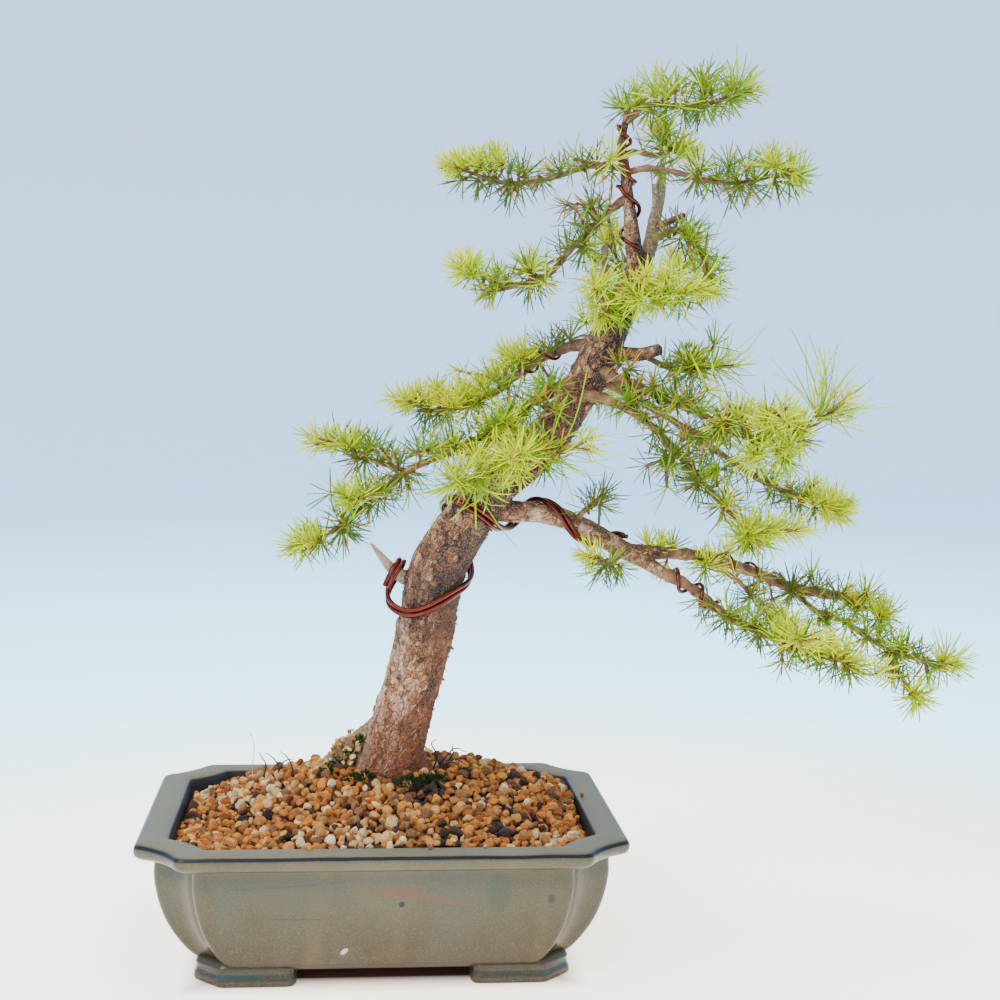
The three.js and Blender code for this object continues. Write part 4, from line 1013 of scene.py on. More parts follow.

# %% [markdown]
# The wires are anodised: a metal with a thin copper-brown colour, polished enough for a highlight
# along each turn, and worn paler in places by the bending. Their colour darkens where the surface
# turns away from view: painted shade that makes each wire look round.

# %% Anodised wire
anodised = Finish("anodised_wire", metallic=1.0, roughness=0.3, coat_weight=0.12, coat_roughness=0.1)
drawn = anodised.noise(350, 3)
worn = anodised.step(anodised.noise(60, 4, rough=0.65), 0.6, 0.75)
# painted shade: the wire's colour darkens where its surface turns away from view
edge = anodised.node("ShaderNodeLayerWeight", None, {"Blend": 0.5}, out=1)
anodised.paint(
    base_color=anodised.layers(
        anodised.ramp(drawn, (0.3, (0.13, 0.021, 0.013)), (0.7, (0.19, 0.034, 0.022))),
        (anodised.step(edge, 0.3, 0.85) * 0.8, (0.02, 0.004, 0.003)),
        (worn * 0.4, (0.26, 0.075, 0.05))),
    roughness=0.24 + drawn * 0.1 + worn * 0.1,
)
anodised.relief(drawn, 0.00005, 0.1)


def wire_piece(name, path, radius):
    """A wire with round cut ends, in place of its solid."""
    made = Heap()
    made.add(*tube(path, radius, 14))
    return made.piece("coiled_" + name, anodised, "wire", [name])


heavy_pair = [
    wire_piece(name, beside(heavy_points, heavy_outward, side * (HEAVY_WIRE + 0.1)), HEAVY_WIRE)
    for name, side in (("wire_heavy_lower", -1), ("wire_heavy_upper", 1))
]
print("heavy wires:", triangles(*heavy_pair), "triangles")

# %% [markdown]
# ## Branches
# The leafy branches are limbs too, one or more in each spray. Their names are those of their
# solids, so each spray can stand in its solid's place.

# %% Way points of the branches
BRANCHES = {
    "spray_apex": [[
        (128, 3, 446, 2), (138, 0, 455, 1.7), (151, -6, 454, 1.5), (167, -10, 455, 1.3), (186, -16, 460, 1)]],
    "spray_apex_back": [[(127, 2, 428, 2.4), (133, 7, 431, 1.5), (146, 15, 430, 1.3), (158, 24, 435, 1)]],
    "spray_top_right": [[
        (128, 2, 419, 2), (138, -4, 421, 1.8), (152, -8, 419, 1.6), (167, -12, 415, 1.5),
        (182, -16, 413, 1.3), (204, -24, 417, 1)]],
    "spray_top_left": [[
        (127, 2, 421, 2), (111, 6, 423, 1.8), (97, 11, 419, 1.6), (83, 16, 415, 1.5), (62, 21, 414, 1.3),
        (46, 25, 419, 1)]],
    "spray_second_left": [
        [(128, 0, 406, 2.2), (116, -6, 395, 1.9), (97, -15, 377, 1.8), (86, -21, 364, 1.6),
         (74, -26, 358, 1.4), (58, -31, 353, 1)],
        [(66, -29, 355, 1.2), (54, -33, 357, 1.1), (42, -38, 362, 0.9)]],
    "spray_right_droop": [[(144, 7, 384, 3), (155, 1, 389, 1.7), (163, -4, 386, 1.5), (169, -12, 372, 1)]],
    "spray_front_high": [
        [(128, 0, 352, 4), (131, -12, 356, 1.8), (133, -26, 360, 1.1)],
        [(131, -12, 356, 1.4), (146, -22, 354, 1.2), (163, -28, 354, 1)]],
    "spray_front_left": [[(122, 0, 340, 4), (116, -12, 345, 1.6), (110, -24, 352, 1)]],
    "spray_back_high": [[(130, 8, 352, 4), (136, 24, 357, 1.8), (144, 44, 359, 1.4), (150, 60, 363, 1)]],
    "spray_mid_left": [
        [(112, 7, 327, 4), (93, 17, 322, 2.8), (73, 27, 308, 2.3), (61, 31, 298, 2), (43, 35, 290, 1.7),
         (28, 38, 288, 1.4), (12, 40, 292, 1)],
        [(73, 27, 308, 1.4), (62, 42, 306, 1.2), (48, 54, 309, 0.9)]],
    "spray_low_left": [
        [(103, 2, 306, 4), (94, -7, 302, 3), (78, -14, 295, 2.6), (65, -20, 283, 2.4), (37, -28, 270, 2),
         (8, -38, 257, 1.7), (-14, -45, 239, 1.4), (-36, -51, 222, 1)],
        [(11, -37, 258, 1.4), (-8, -30, 263, 1.2), (-22, -24, 270, 1), (-34, -19, 273, 0.9)],
        [(-3, -42, 250, 1.3), (-13, -52, 247, 1.1), (-24, -60, 248, 0.9)],
        [(37, -28, 270, 1.4), (28, -42, 272, 1.1), (18, -54, 270, 0.9)]],
    "spray_front_low": [
        [(90, 2, 274, 4), (84, -13, 271, 2), (76, -28, 269, 1.6), (66, -46, 267, 1)],
        [(78, -25, 269, 1.4), (64, -32, 263, 1.2), (48, -42, 257, 1.1), (36, -50, 253, 0.9)],
        [(82, -16, 270, 1.3), (92, -28, 271, 1.1), (100, -40, 271, 0.9)]],
    "spray_back_low": [[(84, 8, 270, 4), (82, 26, 272, 2), (76, 44, 272, 1.5), (66, 62, 275, 1)]],
    "spray_back_mid": [
        [(108, 8, 303, 4), (112, 26, 303, 2.2), (118, 44, 298, 1.7), (128, 62, 297, 1)],
        [(116, 40, 299, 1.4), (104, 52, 300, 1.1), (94, 62, 303, 0.9)]],
    "spray_right_stub": [[(138, -8, 321, 2), (152, -8, 314, 1.4), (166, -16, 313, 1.2), (178, -22, 315, 1)]],
    "spray_right_high": [
        [(114, 3, 313, 4), (126, -14, 307, 2.8), (144, -24, 299, 2.4), (165, -34, 290, 2.1),
         (186, -42, 279, 1.7), (202, -46, 277, 1.4), (218, -51, 283, 1.2), (231, -53, 294, 1)],
        [(184, -41, 280, 1.3), (190, -54, 286, 1.1), (198, -64, 292, 0.9)]],
    "spray_right_low": [
        [(106, 2, 299, 4), (118, -18, 296, 2.8), (134, -24, 288, 2.3), (150, -28, 273, 2),
         (172, -34, 248, 1.6), (190, -39, 229, 1)],
        [(152, -28, 271, 1.3), (146, -40, 262, 1.1), (144, -52, 256, 0.9)]],
    "spray_right_rear": [
        [(112, 5, 309, 4), (132, 6, 300, 2.4), (160, 8, 284, 2), (186, 8, 267, 1.7), (216, 12, 249, 1.4),
         (247, 16, 241, 1)],
        [(168, 8, 279, 1.4), (182, 20, 277, 1.2), (198, 30, 280, 0.9)]],
    "spray_bough_over": [[(104, 7, 227, 3), (110, 1, 236, 1.1), (114, -5, 241, 0.9)]],
    "spray_bough_under": [[(130, 3, 214, 3), (122, -11, 207, 1.4), (112, -21, 211, 0.9)]],
    "spray_arm_upper": [
        [(156, 7, 211, 3.5), (177, 13, 209, 3.3), (198, 19, 203, 3.2), (217, 23, 196, 3.1),
         (235, 26, 189, 3), (258, 28, 185, 2.9), (278, 30, 182, 2.7)],
        [(233, 25, 190, 1.8), (246, 12, 177, 1.7), (259, 5, 173, 1.6), (271, 0, 165, 1.4),
         (283, -6, 158, 1.3), (299, -12, 154, 1.1), (308, -15, 153, 0.9)],
        [(281, -5, 159, 1.2), (290, 2, 145, 1), (301, 7, 133, 0.9)],
        [(262, 28, 184, 1.5), (272, 23, 180, 1.2), (283, 20, 177, 0.9)],
        [(182, 14, 208, 2), (190, 24, 201, 1.7), (203, 34, 193, 1.4), (216, 46, 182, 1.2),
         (226, 54, 174, 0.9)]],
    "spray_arm_lower": [
        [(151, -7, 202.5, 3.4), (166, -13, 195, 3.1), (176, -16, 187, 2.8), (188, -20, 179, 2.4),
         (203, -26, 172, 2.1), (226, -34, 163, 1.7), (248, -40, 158, 1.2)],
        [(203, -26, 172, 1.4), (214, -42, 170, 1.1), (222, -54, 173, 0.9)]],
}
SPRAYS = {name: [Limb(points) for points in limbs] for name, limbs in BRANCHES.items()}
print("sprays:", len(SPRAYS), "limbs:", sum(map(len, SPRAYS.values())))

# %% Thinner wires on the branches
THINNER_WIRES = [
    ("wire_leader", MEDIUM_WIRE, LEFT_LEADER, [
        (15, -80), (17, -100), (41, -440), (47, -500), (49, -540), (50, -720), (52, -790), (62, -835, 0.2),
        (76, -1170, 0.6), (80, -1220, 0.6)]),
    ("wire_mid_left", THIN_WIRE, SPRAYS["spray_mid_left"][0], [(15, 0), (42, 630)]),
    ("wire_right_high", THIN_WIRE, SPRAYS["spray_right_high"][0], [(20, 90), (58, 990)]),
    ("wire_arm_upper", THIN_WIRE, SPRAYS["spray_arm_upper"][0], [(34, 90), (76, 990)]),
    ("wire_arm_lower", MEDIUM_WIRE, SPRAYS["spray_arm_lower"][0], [(4, 90), (36, 882)]),
]
wire_paths = [(beside(heavy_points, heavy_outward, 0), HEAVY_WIRE * 2)]
for name, radius, limb, places in THINNER_WIRES:
    path, _ = coil(limb, radius, places)
    wire_paths.append((path, radius))
    wire_piece(name, path, radius)
    print(name, path_length(path), "mm")

# %% [markdown]
# A larch grows its tufts on short side shoots. The rule for them is the one of the solids: they
# follow each other along a limb, each turned by the golden angle from the last, lean a little
# forward and up, and a shoot that would run into other wood is turned on until it is free. A
# seeded source of chance numbers makes the same tree on every run.


# %% Seeded chance, and the gap between straight stretches
def chance_source(seed):
    """Chance numbers from 0 to 1, the same ones on every run."""
    state = seed

    def draw():
        nonlocal state
        state = (state + 0x6D2B79F5) & 0xFFFFFFFF
        t = (state ^ (state >> 15)) * (1 | state) & 0xFFFFFFFF
        t = (t + ((t ^ (t >> 7)) * (61 | t) & 0xFFFFFFFF)) & 0xFFFFFFFF ^ t
        return ((t ^ (t >> 14)) & 0xFFFFFFFF) / 4294967296

    return draw


def gaps(start, end, starts, ends):
    """Distances from one straight stretch to many others."""
    d1, d2, r = ends - starts, end - start, starts - start
    a, e = np.einsum("ij,ij->i", d1, d1), d2 @ d2
    f, c, b = r @ d2, np.einsum("ij,ij->i", d1, r), d1 @ d2
    denominator = a * e - b * b
    s = np.where(denominator > 1e-9, np.clip((b * f - c * e) / np.maximum(denominator, 1e-9), 0, 1), 0)
    t = (b * s + f) / e
    s = np.where(t < 0, np.clip(-c / a, 0, 1), np.where(t > 1, np.clip((b - c) / a, 0, 1), s))
    t = np.clip(t, 0, 1)
    return np.linalg.norm(starts + d1 * s[:, None] - start - t[:, None] * d2, axis=1)


# %% All the wood that a shoot has to stay clear of
class Thicket:
    """Straight stretches of wood and wire, each with a radius and an owner."""

    def __init__(self):
        self.rows = []
        self.owners = []

    def add(self, start, end, radius, owner):
        self.rows.append((*start, *end, radius))
        self.owners.append(owner)

    def clear(self, start, end, margin, mine=None, others_than=None):
        """Whether a stretch keeps a margin from the wood of one owner, or of all but one."""
        rows, owners = np.array(self.rows), np.array(self.owners)
        rows = rows[owners == mine] if mine else rows[owners != others_than]
        return bool(np.all(gaps(start, end, rows[:, :3], rows[:, 3:6]) > rows[:, 6] + margin))


thicket = Thicket()
for limb in TRUNK_LIMBS:
    for start, end, radius in limb.stretches():
        thicket.add(start, end, radius, "trunk")
for name, limbs in SPRAYS.items():
    for limb in limbs:
        for start, end, radius in limb.stretches():
            thicket.add(start, end, radius, name)
for path, radius in wire_paths:
    for start, end in zip(path[:-4:4], path[4::4]):
        thicket.add(start, end, radius, "wire")
print("stretches of wood and wire:", len(thicket.rows))

# %% The rule for shoots
GOLDEN_ANGLE = 2 * math.pi * 0.382
SHOOT_RADIUS, SHOOT_SPACING, TUFT_STEP = 0.95, 19, 18
FORWARD_LEAN, UPWARD_LEAN = 0.7, 0.35
BARE_START = {
    "spray_apex": 7, "spray_arm_upper": 30, "spray_arm_lower": 38, "spray_right_high": 40,
    "spray_right_low": 26, "spray_low_left": 34, "spray_mid_left": 34, "spray_right_rear": 44,
}


class Shoot:
    """A thin side twig, with tufts at even steps up to its tip."""

    def __init__(self, start, direction, length, bare, limb_share):
        self.start, self.direction, self.length = start, direction, length
        self.end = start + direction * length
        count = max(1, round((length - bare) / TUFT_STEP))
        self.tufts = [length - (length - bare) * (count - 1 - i) / count for i in range(count)]
        self.limb_share = limb_share


def outward_direction(limb, along, angle):
    """A way off a limb at an angle round it, leaning forward and up."""
    tangent = limb.tangent(along)
    side = unit(np.cross((0.0, 0.0, 1.0), tangent))
    up = np.cross(tangent, side)
    direction = unit(side * math.cos(angle) + up * math.sin(angle) + np.array([0, 0, UPWARD_LEAN]))
    return unit(direction + tangent * FORWARD_LEAN)


def shoots_of(limb, owner, first, draw):
    """Shoots along one limb, from a first place up to its tip."""
    shoots = []
    angle = 2 * math.pi * draw()
    along = first
    while along < limb.length - 4:
        for _ in range(9):
            angle += GOLDEN_ANGLE
            direction = outward_direction(limb, along, angle)
            radius = float(limb.radius(along))
            reach = radius + 6 + 9 * draw() ** 2
            start = limb.points(along)[0] + direction * radius * 0.3
            shoot = Shoot(start, direction, reach, radius + 3, along / limb.length)
            outer = start + direction * reach * 0.6
            free = all(
                gaps(outer, shoot.end, other.start[None], other.end[None])[0] > 2 * SHOOT_RADIUS + 3
                for other in shoots)
            if (free and thicket.clear(outer, shoot.end, 2 * SHOOT_RADIUS, mine=owner)
                    and thicket.clear(start, shoot.end, SHOOT_RADIUS + 1.6, others_than=owner)):
                shoots.append(shoot)
                break
        along += SHOOT_SPACING * (0.8 + 0.4 * draw())
    tangent = limb.tangent(limb.length)
    shoots.append(Shoot(limb.points(limb.length)[0] - 2 * tangent, tangent, 9, 5, 1.0))
    return shoots


# %% Shoots of each spray
draw = chance_source(2024)
shoots = {}
for name, limbs in SPRAYS.items():
    grown = []
    for i, limb in enumerate(limbs):
        first = BARE_START.get(name, 16) if i == 0 else 8
        grown.append(shoots_of(limb, name, first, draw))
    for shoot in sum(grown, []):
        thicket.add(shoot.start, shoot.end, SHOOT_RADIUS, name + " shoot")
    shoots[name] = grown
print("shoots:", sum(len(g) for grown in shoots.values() for g in grown))

# %% [markdown]
# Each limb and shoot of a spray becomes a tube with knobs where older tufts sat, and every tuft
# sits on a spur, a little barrel of bud scales. Older spurs follow each other closely along the
# limb, between the shoots.

# %% The rule for spurs
SPUR_SPACING, SPUR_LENGTH = 8.5, 2.6


class Tuft:
    """A whorl of needles: where it sits, which way it faces, and which kind it is."""

    def __init__(self, place, axis, kind):
        self.place, self.axis, self.kind = place, axis, kind
        self.root = None


def spurs_of(limb, owner, first, chance):
    """Tufts on short spurs, at the front and the back of the limb."""
    found = []
    angle = chance.uniform(0, 2 * math.pi)
    for along in np.arange(first, limb.length - 2, SPUR_SPACING):
        angle += GOLDEN_ANGLE + chance.normal(0, 0.3)
        along = along + chance.uniform(-2, 2)
        axis = outward_direction(limb, along, angle)
        base = limb.points(along)[0] + axis * (float(limb.radius(along)) + SPUR_LENGTH * 0.5)
        across_view = abs(axis[1]) > 0.4
        if across_view and thicket.clear(base + axis * 2, base + axis * 10, 1.2, others_than=owner):
            kind = "old" if chance.random() < 0.5 else "straw" if chance.random() < 0.3 else "green"
            found.append(Tuft(base, axis, kind))
    return found


# %% Tufts along limbs and shoots
BRIGHTNESS = {
    "spray_apex": 0.7, "spray_apex_back": 0.5, "spray_top_right": 0.6, "spray_top_left": 0.5,
    "spray_second_left": 0.45, "spray_right_droop": 0.3, "spray_front_high": 1.0, "spray_front_left": 1.0,
    "spray_back_high": 0.7, "spray_mid_left": 0.85, "spray_low_left": 0.4, "spray_front_low": 0.85,
    "spray_back_low": 0.5, "spray_back_mid": 0.5, "spray_right_stub": 0.35, "spray_right_high": 0.6,
    "spray_right_low": 0.0, "spray_right_rear": 0.3, "spray_bough_over": -1, "spray_bough_under": 0.4,
    "spray_arm_upper": 0.15, "spray_arm_lower": 0.35,
}
tufts = {}
for seed, (name, limbs) in enumerate(SPRAYS.items()):
    chance = np.random.default_rng(100 + seed)
    tufts[name] = []
    for i, limb in enumerate(limbs):
        first = BARE_START.get(name, 12) if i == 0 else 6
        tufts[name] += spurs_of(limb, name, first, chance)
        for shoot in shoots[name][i]:
            outer = (shoot.limb_share - 0.5) * 0.6 + 0.3 * shoot.direction[2]
            for along in shoot.tufts:
                place = shoot.start + shoot.direction * along
                if chance.random() < BRIGHTNESS[name] + outer:
                    kind = "brush" if shoot.limb_share > 0.75 else "star"
                else:
                    kind = "green" if chance.random() < 0.5 else "old"
                tufts[name].append(Tuft(place, shoot.direction, kind))
print("tufts along limbs and shoots:", sum(map(len, tufts.values())))

# %% [markdown]
# Much of the character of a young larch lies in where its tufts sit, which no rule gives. So the
# tufts that a viewer sees from the front are listed one by one: each row holds a place in the
# picture, a thousand units wide, counted right and down, the angle at which the tuft leans there
# (0 is right and 90 is up) and how many degrees it leans forwards. The rows of a kind follow its
# name. The camera turns a place of the picture into a point of the tree, about as deep as the
# nearest wood of its spray.

# %% From the picture to the tree and back
PICTURE_HALF = 500
PICTURE_FOCUS = camera.data.lens / camera.data.sensor_width * 2 * PICTURE_HALF
camera_axes = np.array(camera.matrix_world.to_3x3())


def in_picture(points):
    """Where points of the tree fall in the picture, and how far in front of the camera they are."""
    seen = (points - np.array(CAMERA_PLACE)) @ camera_axes
    depth = -seen[:, 2]
    return PICTURE_HALF + PICTURE_FOCUS * seen[:, :2] * (1, -1) / depth[:, None], depth


def out_of_picture(across, down, depth):
    """The point of the tree at a place of the picture, at a distance in front of the camera."""
    ray = ((across - PICTURE_HALF) / PICTURE_FOCUS, (PICTURE_HALF - down) / PICTURE_FOCUS, -1)
    return np.array(CAMERA_PLACE) + camera_axes @ ray * depth


# %% Tufts listed one by one
TUFTS = """
spray_apex
  tall 662 98 115 15, 669 95 80 0, 705 92 95 10, 727 95 75 0, 655 92 125 5, 738 88 60 5
  green 629 107 95 25, 622 108 140 10, 636 106 55 10, 676 90 70 -20, 704 100 150 30, 735 92 45 10,
    718 103 300 10, 730 100 330 0, 700 84 110 0, 712 90 70 20
  old 705 105 270 10, 683 108 250 0, 650 109 265 0, 697 106 240 20, 668 106 280 10, 629 108 215 15
  straw 745 92 350 0, 640 106 60 20
spray_apex_back
  brush 662 133 110 10, 683 152 35 10, 690 154 20 0, 656 130 130 0
  green 660 143 150 20, 672 148 60 0, 668 132 70 0, 678 150 70 10
  old 668 152 200 20
spray_top_right
  star 778 166 60 50, 785 172 35 20, 773 165 130 30, 795 172 25 10
  green 729 165 100 40, 718 180 95 20, 747 168 70 10, 755 178 80 30, 765 165 110 10, 735 178 150 20,
    800 175 10 10
  old 740 186 290 20, 738 186 240 20, 752 186 320 10, 697 178 270 30, 695 178 215 20, 700 172 100 -20,
    712 180 300 20, 775 182 300 10, 790 180 320 0
  straw 660 172 290 0
spray_top_left
  star 611 160 90 60
  brush 460 165 120 20, 468 165 80 30, 455 168 175 10, 497 158 100 10, 500 163 160 20, 478 165 60 15,
    448 165 165 10
  green 478 168 70 20, 510 170 55 20, 520 172 60 0, 490 168 100 0
  old 596 165 100 20, 583 168 120 10, 560 172 130 0, 478 180 250 10, 462 180 205 0, 512 182 275 20,
    508 184 240 10, 520 182 300 10, 492 180 230 20, 540 178 290 0, 525 176 20 20
  straw 598 170 260 20, 612 172 250 30
spray_second_left
  brush 531 268 105 20, 472 272 100 10, 470 270 75 0, 460 268 150 20, 463 272 195 10
  green 582 245 45 0, 585 247 290 20, 533 270 70 0, 527 268 130 0, 492 288 185 20, 600 222 80 20,
    483 278 110 0
  old 592 206 120 10, 590 225 200 10, 583 244 145 20, 582 247 245 20, 568 250 100 0, 527 272 160 10,
    533 280 275 10, 528 282 220 0, 538 278 310 0, 497 287 120 0, 575 206 215 10
  straw 590 207 165 20, 600 205 60 20, 587 210 215 20, 500 287 90 10, 487 292 210 0, 565 205 170 20
spray_right_droop
  green 685 236 20 10, 690 240 60 0, 697 245 30 0, 703 262 60 0, 710 275 20 10, 710 282 320 0,
    707 278 200 10, 711 284 250 0, 695 236 80 10
  old 676 232 60 20, 668 236 130 30, 680 240 250 20, 708 288 275 20, 690 242 290 10
spray_back_high
  brush 612 250 120 0, 604 240 140 0, 618 238 100 0, 600 258 190 0, 690 262 60 0, 680 268 120 0,
    672 262 90 0, 608 232 110 0
  green 622 262 200 0, 605 270 240 0, 695 270 20 0
spray_front_high
  star 640 292 110 65, 645 288 95 30, 660 290 60 40, 672 292 30 30, 655 300 300 40, 632 292 150 40,
    640 300 240 50
  brush 668 278 60 10, 700 290 350 10, 685 288 30 10
  long 690 290 20 20, 665 298 335 20
  green 660 300 320 30, 637 305 260 40, 680 300 300 10
spray_front_left
  star 600 285 100 40, 598 290 150 40, 595 305 190 40, 605 312 250 40
  brush 600 318 220 30
  green 612 300 20 40, 620 315 290 40, 585 322 160 20
spray_mid_left
  brush 406 400 170 20, 408 404 200 10, 415 398 110 20, 422 400 90 30, 430 402 80 10, 440 402 100 20,
    448 400 95 0, 455 405 60 30, 462 402 90 10, 470 400 100 20, 480 398 85 0, 485 385 120 0, 495 378 100 20,
    505 372 95 0, 515 358 130 10, 523 356 100 10, 508 355 150 10, 530 358 60 0, 438 392 100 0,
    465 392 110 0
  green 488 395 90 20, 513 368 80 0, 450 410 320 30, 470 408 280 20, 500 385 60 0, 535 362 80 0
  old 545 352 90 20, 552 350 120 10, 570 338 100 0, 430 412 200 20, 438 415 270 20, 446 415 300 10,
    425 410 240 10, 560 345 60 0, 480 402 300 0
spray_low_left
  brush 318 540 150 10, 310 542 170 20, 300 543 120 10, 295 545 200 10, 355 498 170 20, 345 496 120 20,
    358 494 105 10, 322 442 165 0, 330 444 130 0, 335 443 170 20, 345 445 100 10, 356 448 95 10,
    352 446 75 0
  star 505 420 100 30, 512 428 300 30, 498 424 180 30
  green 308 540 100 0, 365 494 90 10, 375 494 80 20, 382 492 100 0, 350 500 200 20, 365 452 60 10,
    390 460 100 10, 420 455 95 10, 430 450 60 0, 450 450 90 0, 470 445 120 0, 475 450 270 30, 490 430 100 0,
    500 425 200 30, 510 415 60 20, 535 400 110 20, 548 388 90 20, 540 398 200 20, 555 410 20 40,
    525 412 130 10, 372 448 90 10
  old 320 541 260 10, 343 530 330 20, 342 532 280 20, 341 530 240 10, 342 522 150 10, 345 520 40 10,
    343 528 20 30, 380 500 300 20, 370 505 250 0, 358 458 200 20, 365 460 250 0, 378 462 80 0, 400 462 80 0,
    403 473 275 20, 406 474 320 10, 400 475 150 20, 455 450 60 0, 530 405 300 20, 485 440 60 0
  straw 300 548 235 0, 390 490 320 10, 440 452 110 20, 395 480 210 10, 520 415 90 0, 545 405 60 30,
    555 390 20 30, 560 385 330 30
spray_front_low
  star 512 462 90 80, 520 455 60 50, 530 450 60 40, 540 450 80 30, 503 465 200 50, 457 480 150 30,
    455 476 100 30, 497 460 120 40, 520 475 270 50, 515 460 20 50
  brush 478 462 110 10
  long 550 448 80 30, 560 450 45 20, 565 452 10 20, 560 458 310 30, 460 482 200 30, 475 483 270 40
  green 490 475 200 40, 480 478 250 50, 465 485 260 30, 548 460 320 20
  old 545 465 300 40
spray_back_low
  brush 497 432 150 0, 505 435 100 0, 482 452 200 0, 478 460 250 0
spray_back_mid
  green 545 385 150 0, 553 390 90 0, 600 397 290 0, 590 392 200 0
spray_right_stub
  star 690 360 80 0
  brush 692 362 60 10
  long 705 368 45 0, 715 366 40 0, 718 368 340 0
  green 697 366 30 10, 700 372 290 0, 672 370 300 0, 712 368 10 10, 694 364 110 20
  old 688 362 110 10, 690 372 260 10, 686 364 150 10
  straw 670 368 100 10
spray_right_high
  star 722 420 130 20, 725 422 160 20, 738 412 60 0, 770 430 80 20, 785 420 85 10, 780 435 70 30,
    778 450 60 50, 760 455 150 50, 752 455 180 40, 755 458 230 40, 780 455 0 40, 785 458 330 30,
    800 440 20 20, 790 445 130 30, 765 440 100 30
  brush 745 415 30 0, 760 425 95 10, 765 420 100 0, 775 425 90 0, 790 425 60 0, 802 425 80 0
  long 818 415 70 0, 820 414 60 10, 821 416 50 0, 823 417 30 0, 825 418 15 0, 815 410 110 0, 820 418 350 10
  green 655 388 300 30, 640 380 220 20, 720 430 280 20, 785 460 300 40, 690 408 70 10, 700 412 110 10
  old 675 403 100 30, 677 403 30 30, 728 422 75 10, 728 424 95 20, 800 438 60 0, 690 410 60 0,
    730 428 330 20
  straw 618 362 120 40, 620 365 60 40, 625 372 280 30, 653 385 150 30, 653 385 60 40, 675 405 200 20,
    680 402 60 10, 720 428 210 30, 800 442 350 10, 630 368 30 30
spray_right_low
  star 728 505 60 10, 747 536 90 50, 747 534 130 30, 745 536 170 30, 745 538 200 30, 748 532 60 20,
    755 530 45 20, 765 530 20 10, 760 535 340 10
  brush 770 533 0 10, 780 530 5 0, 790 530 10 0, 800 530 0 0
  green 630 400 160 20, 672 457 330 30, 700 481 60 20, 717 482 80 0, 715 470 200 10, 685 462 30 20
  old 632 402 250 10, 637 403 280 10, 661 430 170 30, 671 457 150 30, 671 457 190 20, 671 458 250 30,
    672 455 60 20, 698 482 150 30, 698 482 185 20, 698 483 240 30, 699 482 100 20, 725 500 80 10,
    722 505 230 20, 748 540 280 20, 745 540 250 20
  straw 640 400 60 10, 661 430 100 30, 662 432 20 20, 690 452 60 10, 752 540 310 20, 645 415 200 10
spray_right_rear
  brush 812 500 95 0, 820 500 75 0, 828 502 60 0, 835 505 50 10, 838 508 20 10, 840 512 0 0, 835 515 320 10,
    825 510 290 10, 845 508 30 0
  green 770 480 60 10, 790 495 100 0, 800 498 80 10, 805 500 60 0, 690 440 70 0, 712 440 90 0
  old 775 488 260 10, 815 508 280 0, 800 505 260 0, 790 498 230 10, 700 440 250 10, 735 462 260 0
  straw 765 478 130 10, 785 490 50 0, 712 452 200 10, 685 438 60 10
spray_bough_over
  old 588 510 105 10, 596 503 60 0, 600 505 340 10, 592 505 90 10
spray_bough_under
  brush 595 557 160 10, 590 556 190 10
  green 620 568 290 10, 610 563 80 0
  old 612 565 250 10, 605 562 230 10
spray_arm_upper
  brush 648 545 110 0, 660 545 70 0, 700 560 150 40, 708 563 120 40, 715 565 60 40, 722 566 30 30,
    665 568 250 0, 855 605 100 20, 880 612 90 0
  star 880 615 60 10, 882 615 30 10, 884 616 350 10, 940 664 60 10, 945 660 30 0, 912 692 45 10,
    914 694 10 10, 915 696 260 10, 915 697 300 10
  tall 948 662 350 0
  green 672 547 80 0, 705 568 280 40, 856 612 80 30, 830 615 90 20, 845 622 60 20, 850 622 290 20,
    867 637 60 10, 880 640 20 10, 890 650 45 10, 920 660 60 10, 736 580 60 0, 765 606 60 0, 770 610 330 0,
    900 648 100 10
  old 791 588 100 30, 790 590 60 20, 792 591 180 30, 792 592 260 20, 793 590 20 30, 815 588 90 0,
    825 592 80 10, 838 595 60 0, 866 598 60 0, 878 620 280 10, 825 612 240 20, 820 618 260 10,
    867 638 250 20, 890 650 270 20, 895 652 60 0, 905 655 80 0, 895 655 320 10, 925 662 290 10,
    940 666 310 10, 900 675 150 10, 895 668 250 10, 752 596 20 10, 752 595 100 10, 750 598 250 0
  straw 856 612 300 30
spray_arm_lower
  brush 775 635 80 10, 785 635 100 10, 790 630 70 0, 800 635 45 10, 795 640 150 30, 805 645 20 10,
    810 650 80 10, 820 655 60 10, 835 655 90 10, 845 655 60 0, 850 660 20 0, 848 665 340 0, 880 672 30 0,
    782 622 100 0, 828 650 100 0
  green 728 615 100 10, 745 625 60 20, 765 630 100 10, 845 668 300 10, 820 660 250 10, 808 655 270 10,
    755 620 90 0
  old 700 600 250 10, 722 615 240 20, 730 618 280 10, 757 632 250 20, 760 634 290 10, 785 645 260 20,
    835 665 260 10, 710 606 200 10, 795 650 240 0, 850 670 290 0
"""


def tuft_rows(table):
    """Spray, kind and the four numbers of each tuft in the table."""
    spray, kind, numbers = None, None, []
    for word in table.replace(",", "").split():
        if word.startswith("spray"):
            spray = word
        elif word.isalpha():
            kind = word
        else:
            numbers.append(float(word))
        if len(numbers) == 4:
            yield spray, kind, numbers
            numbers = []


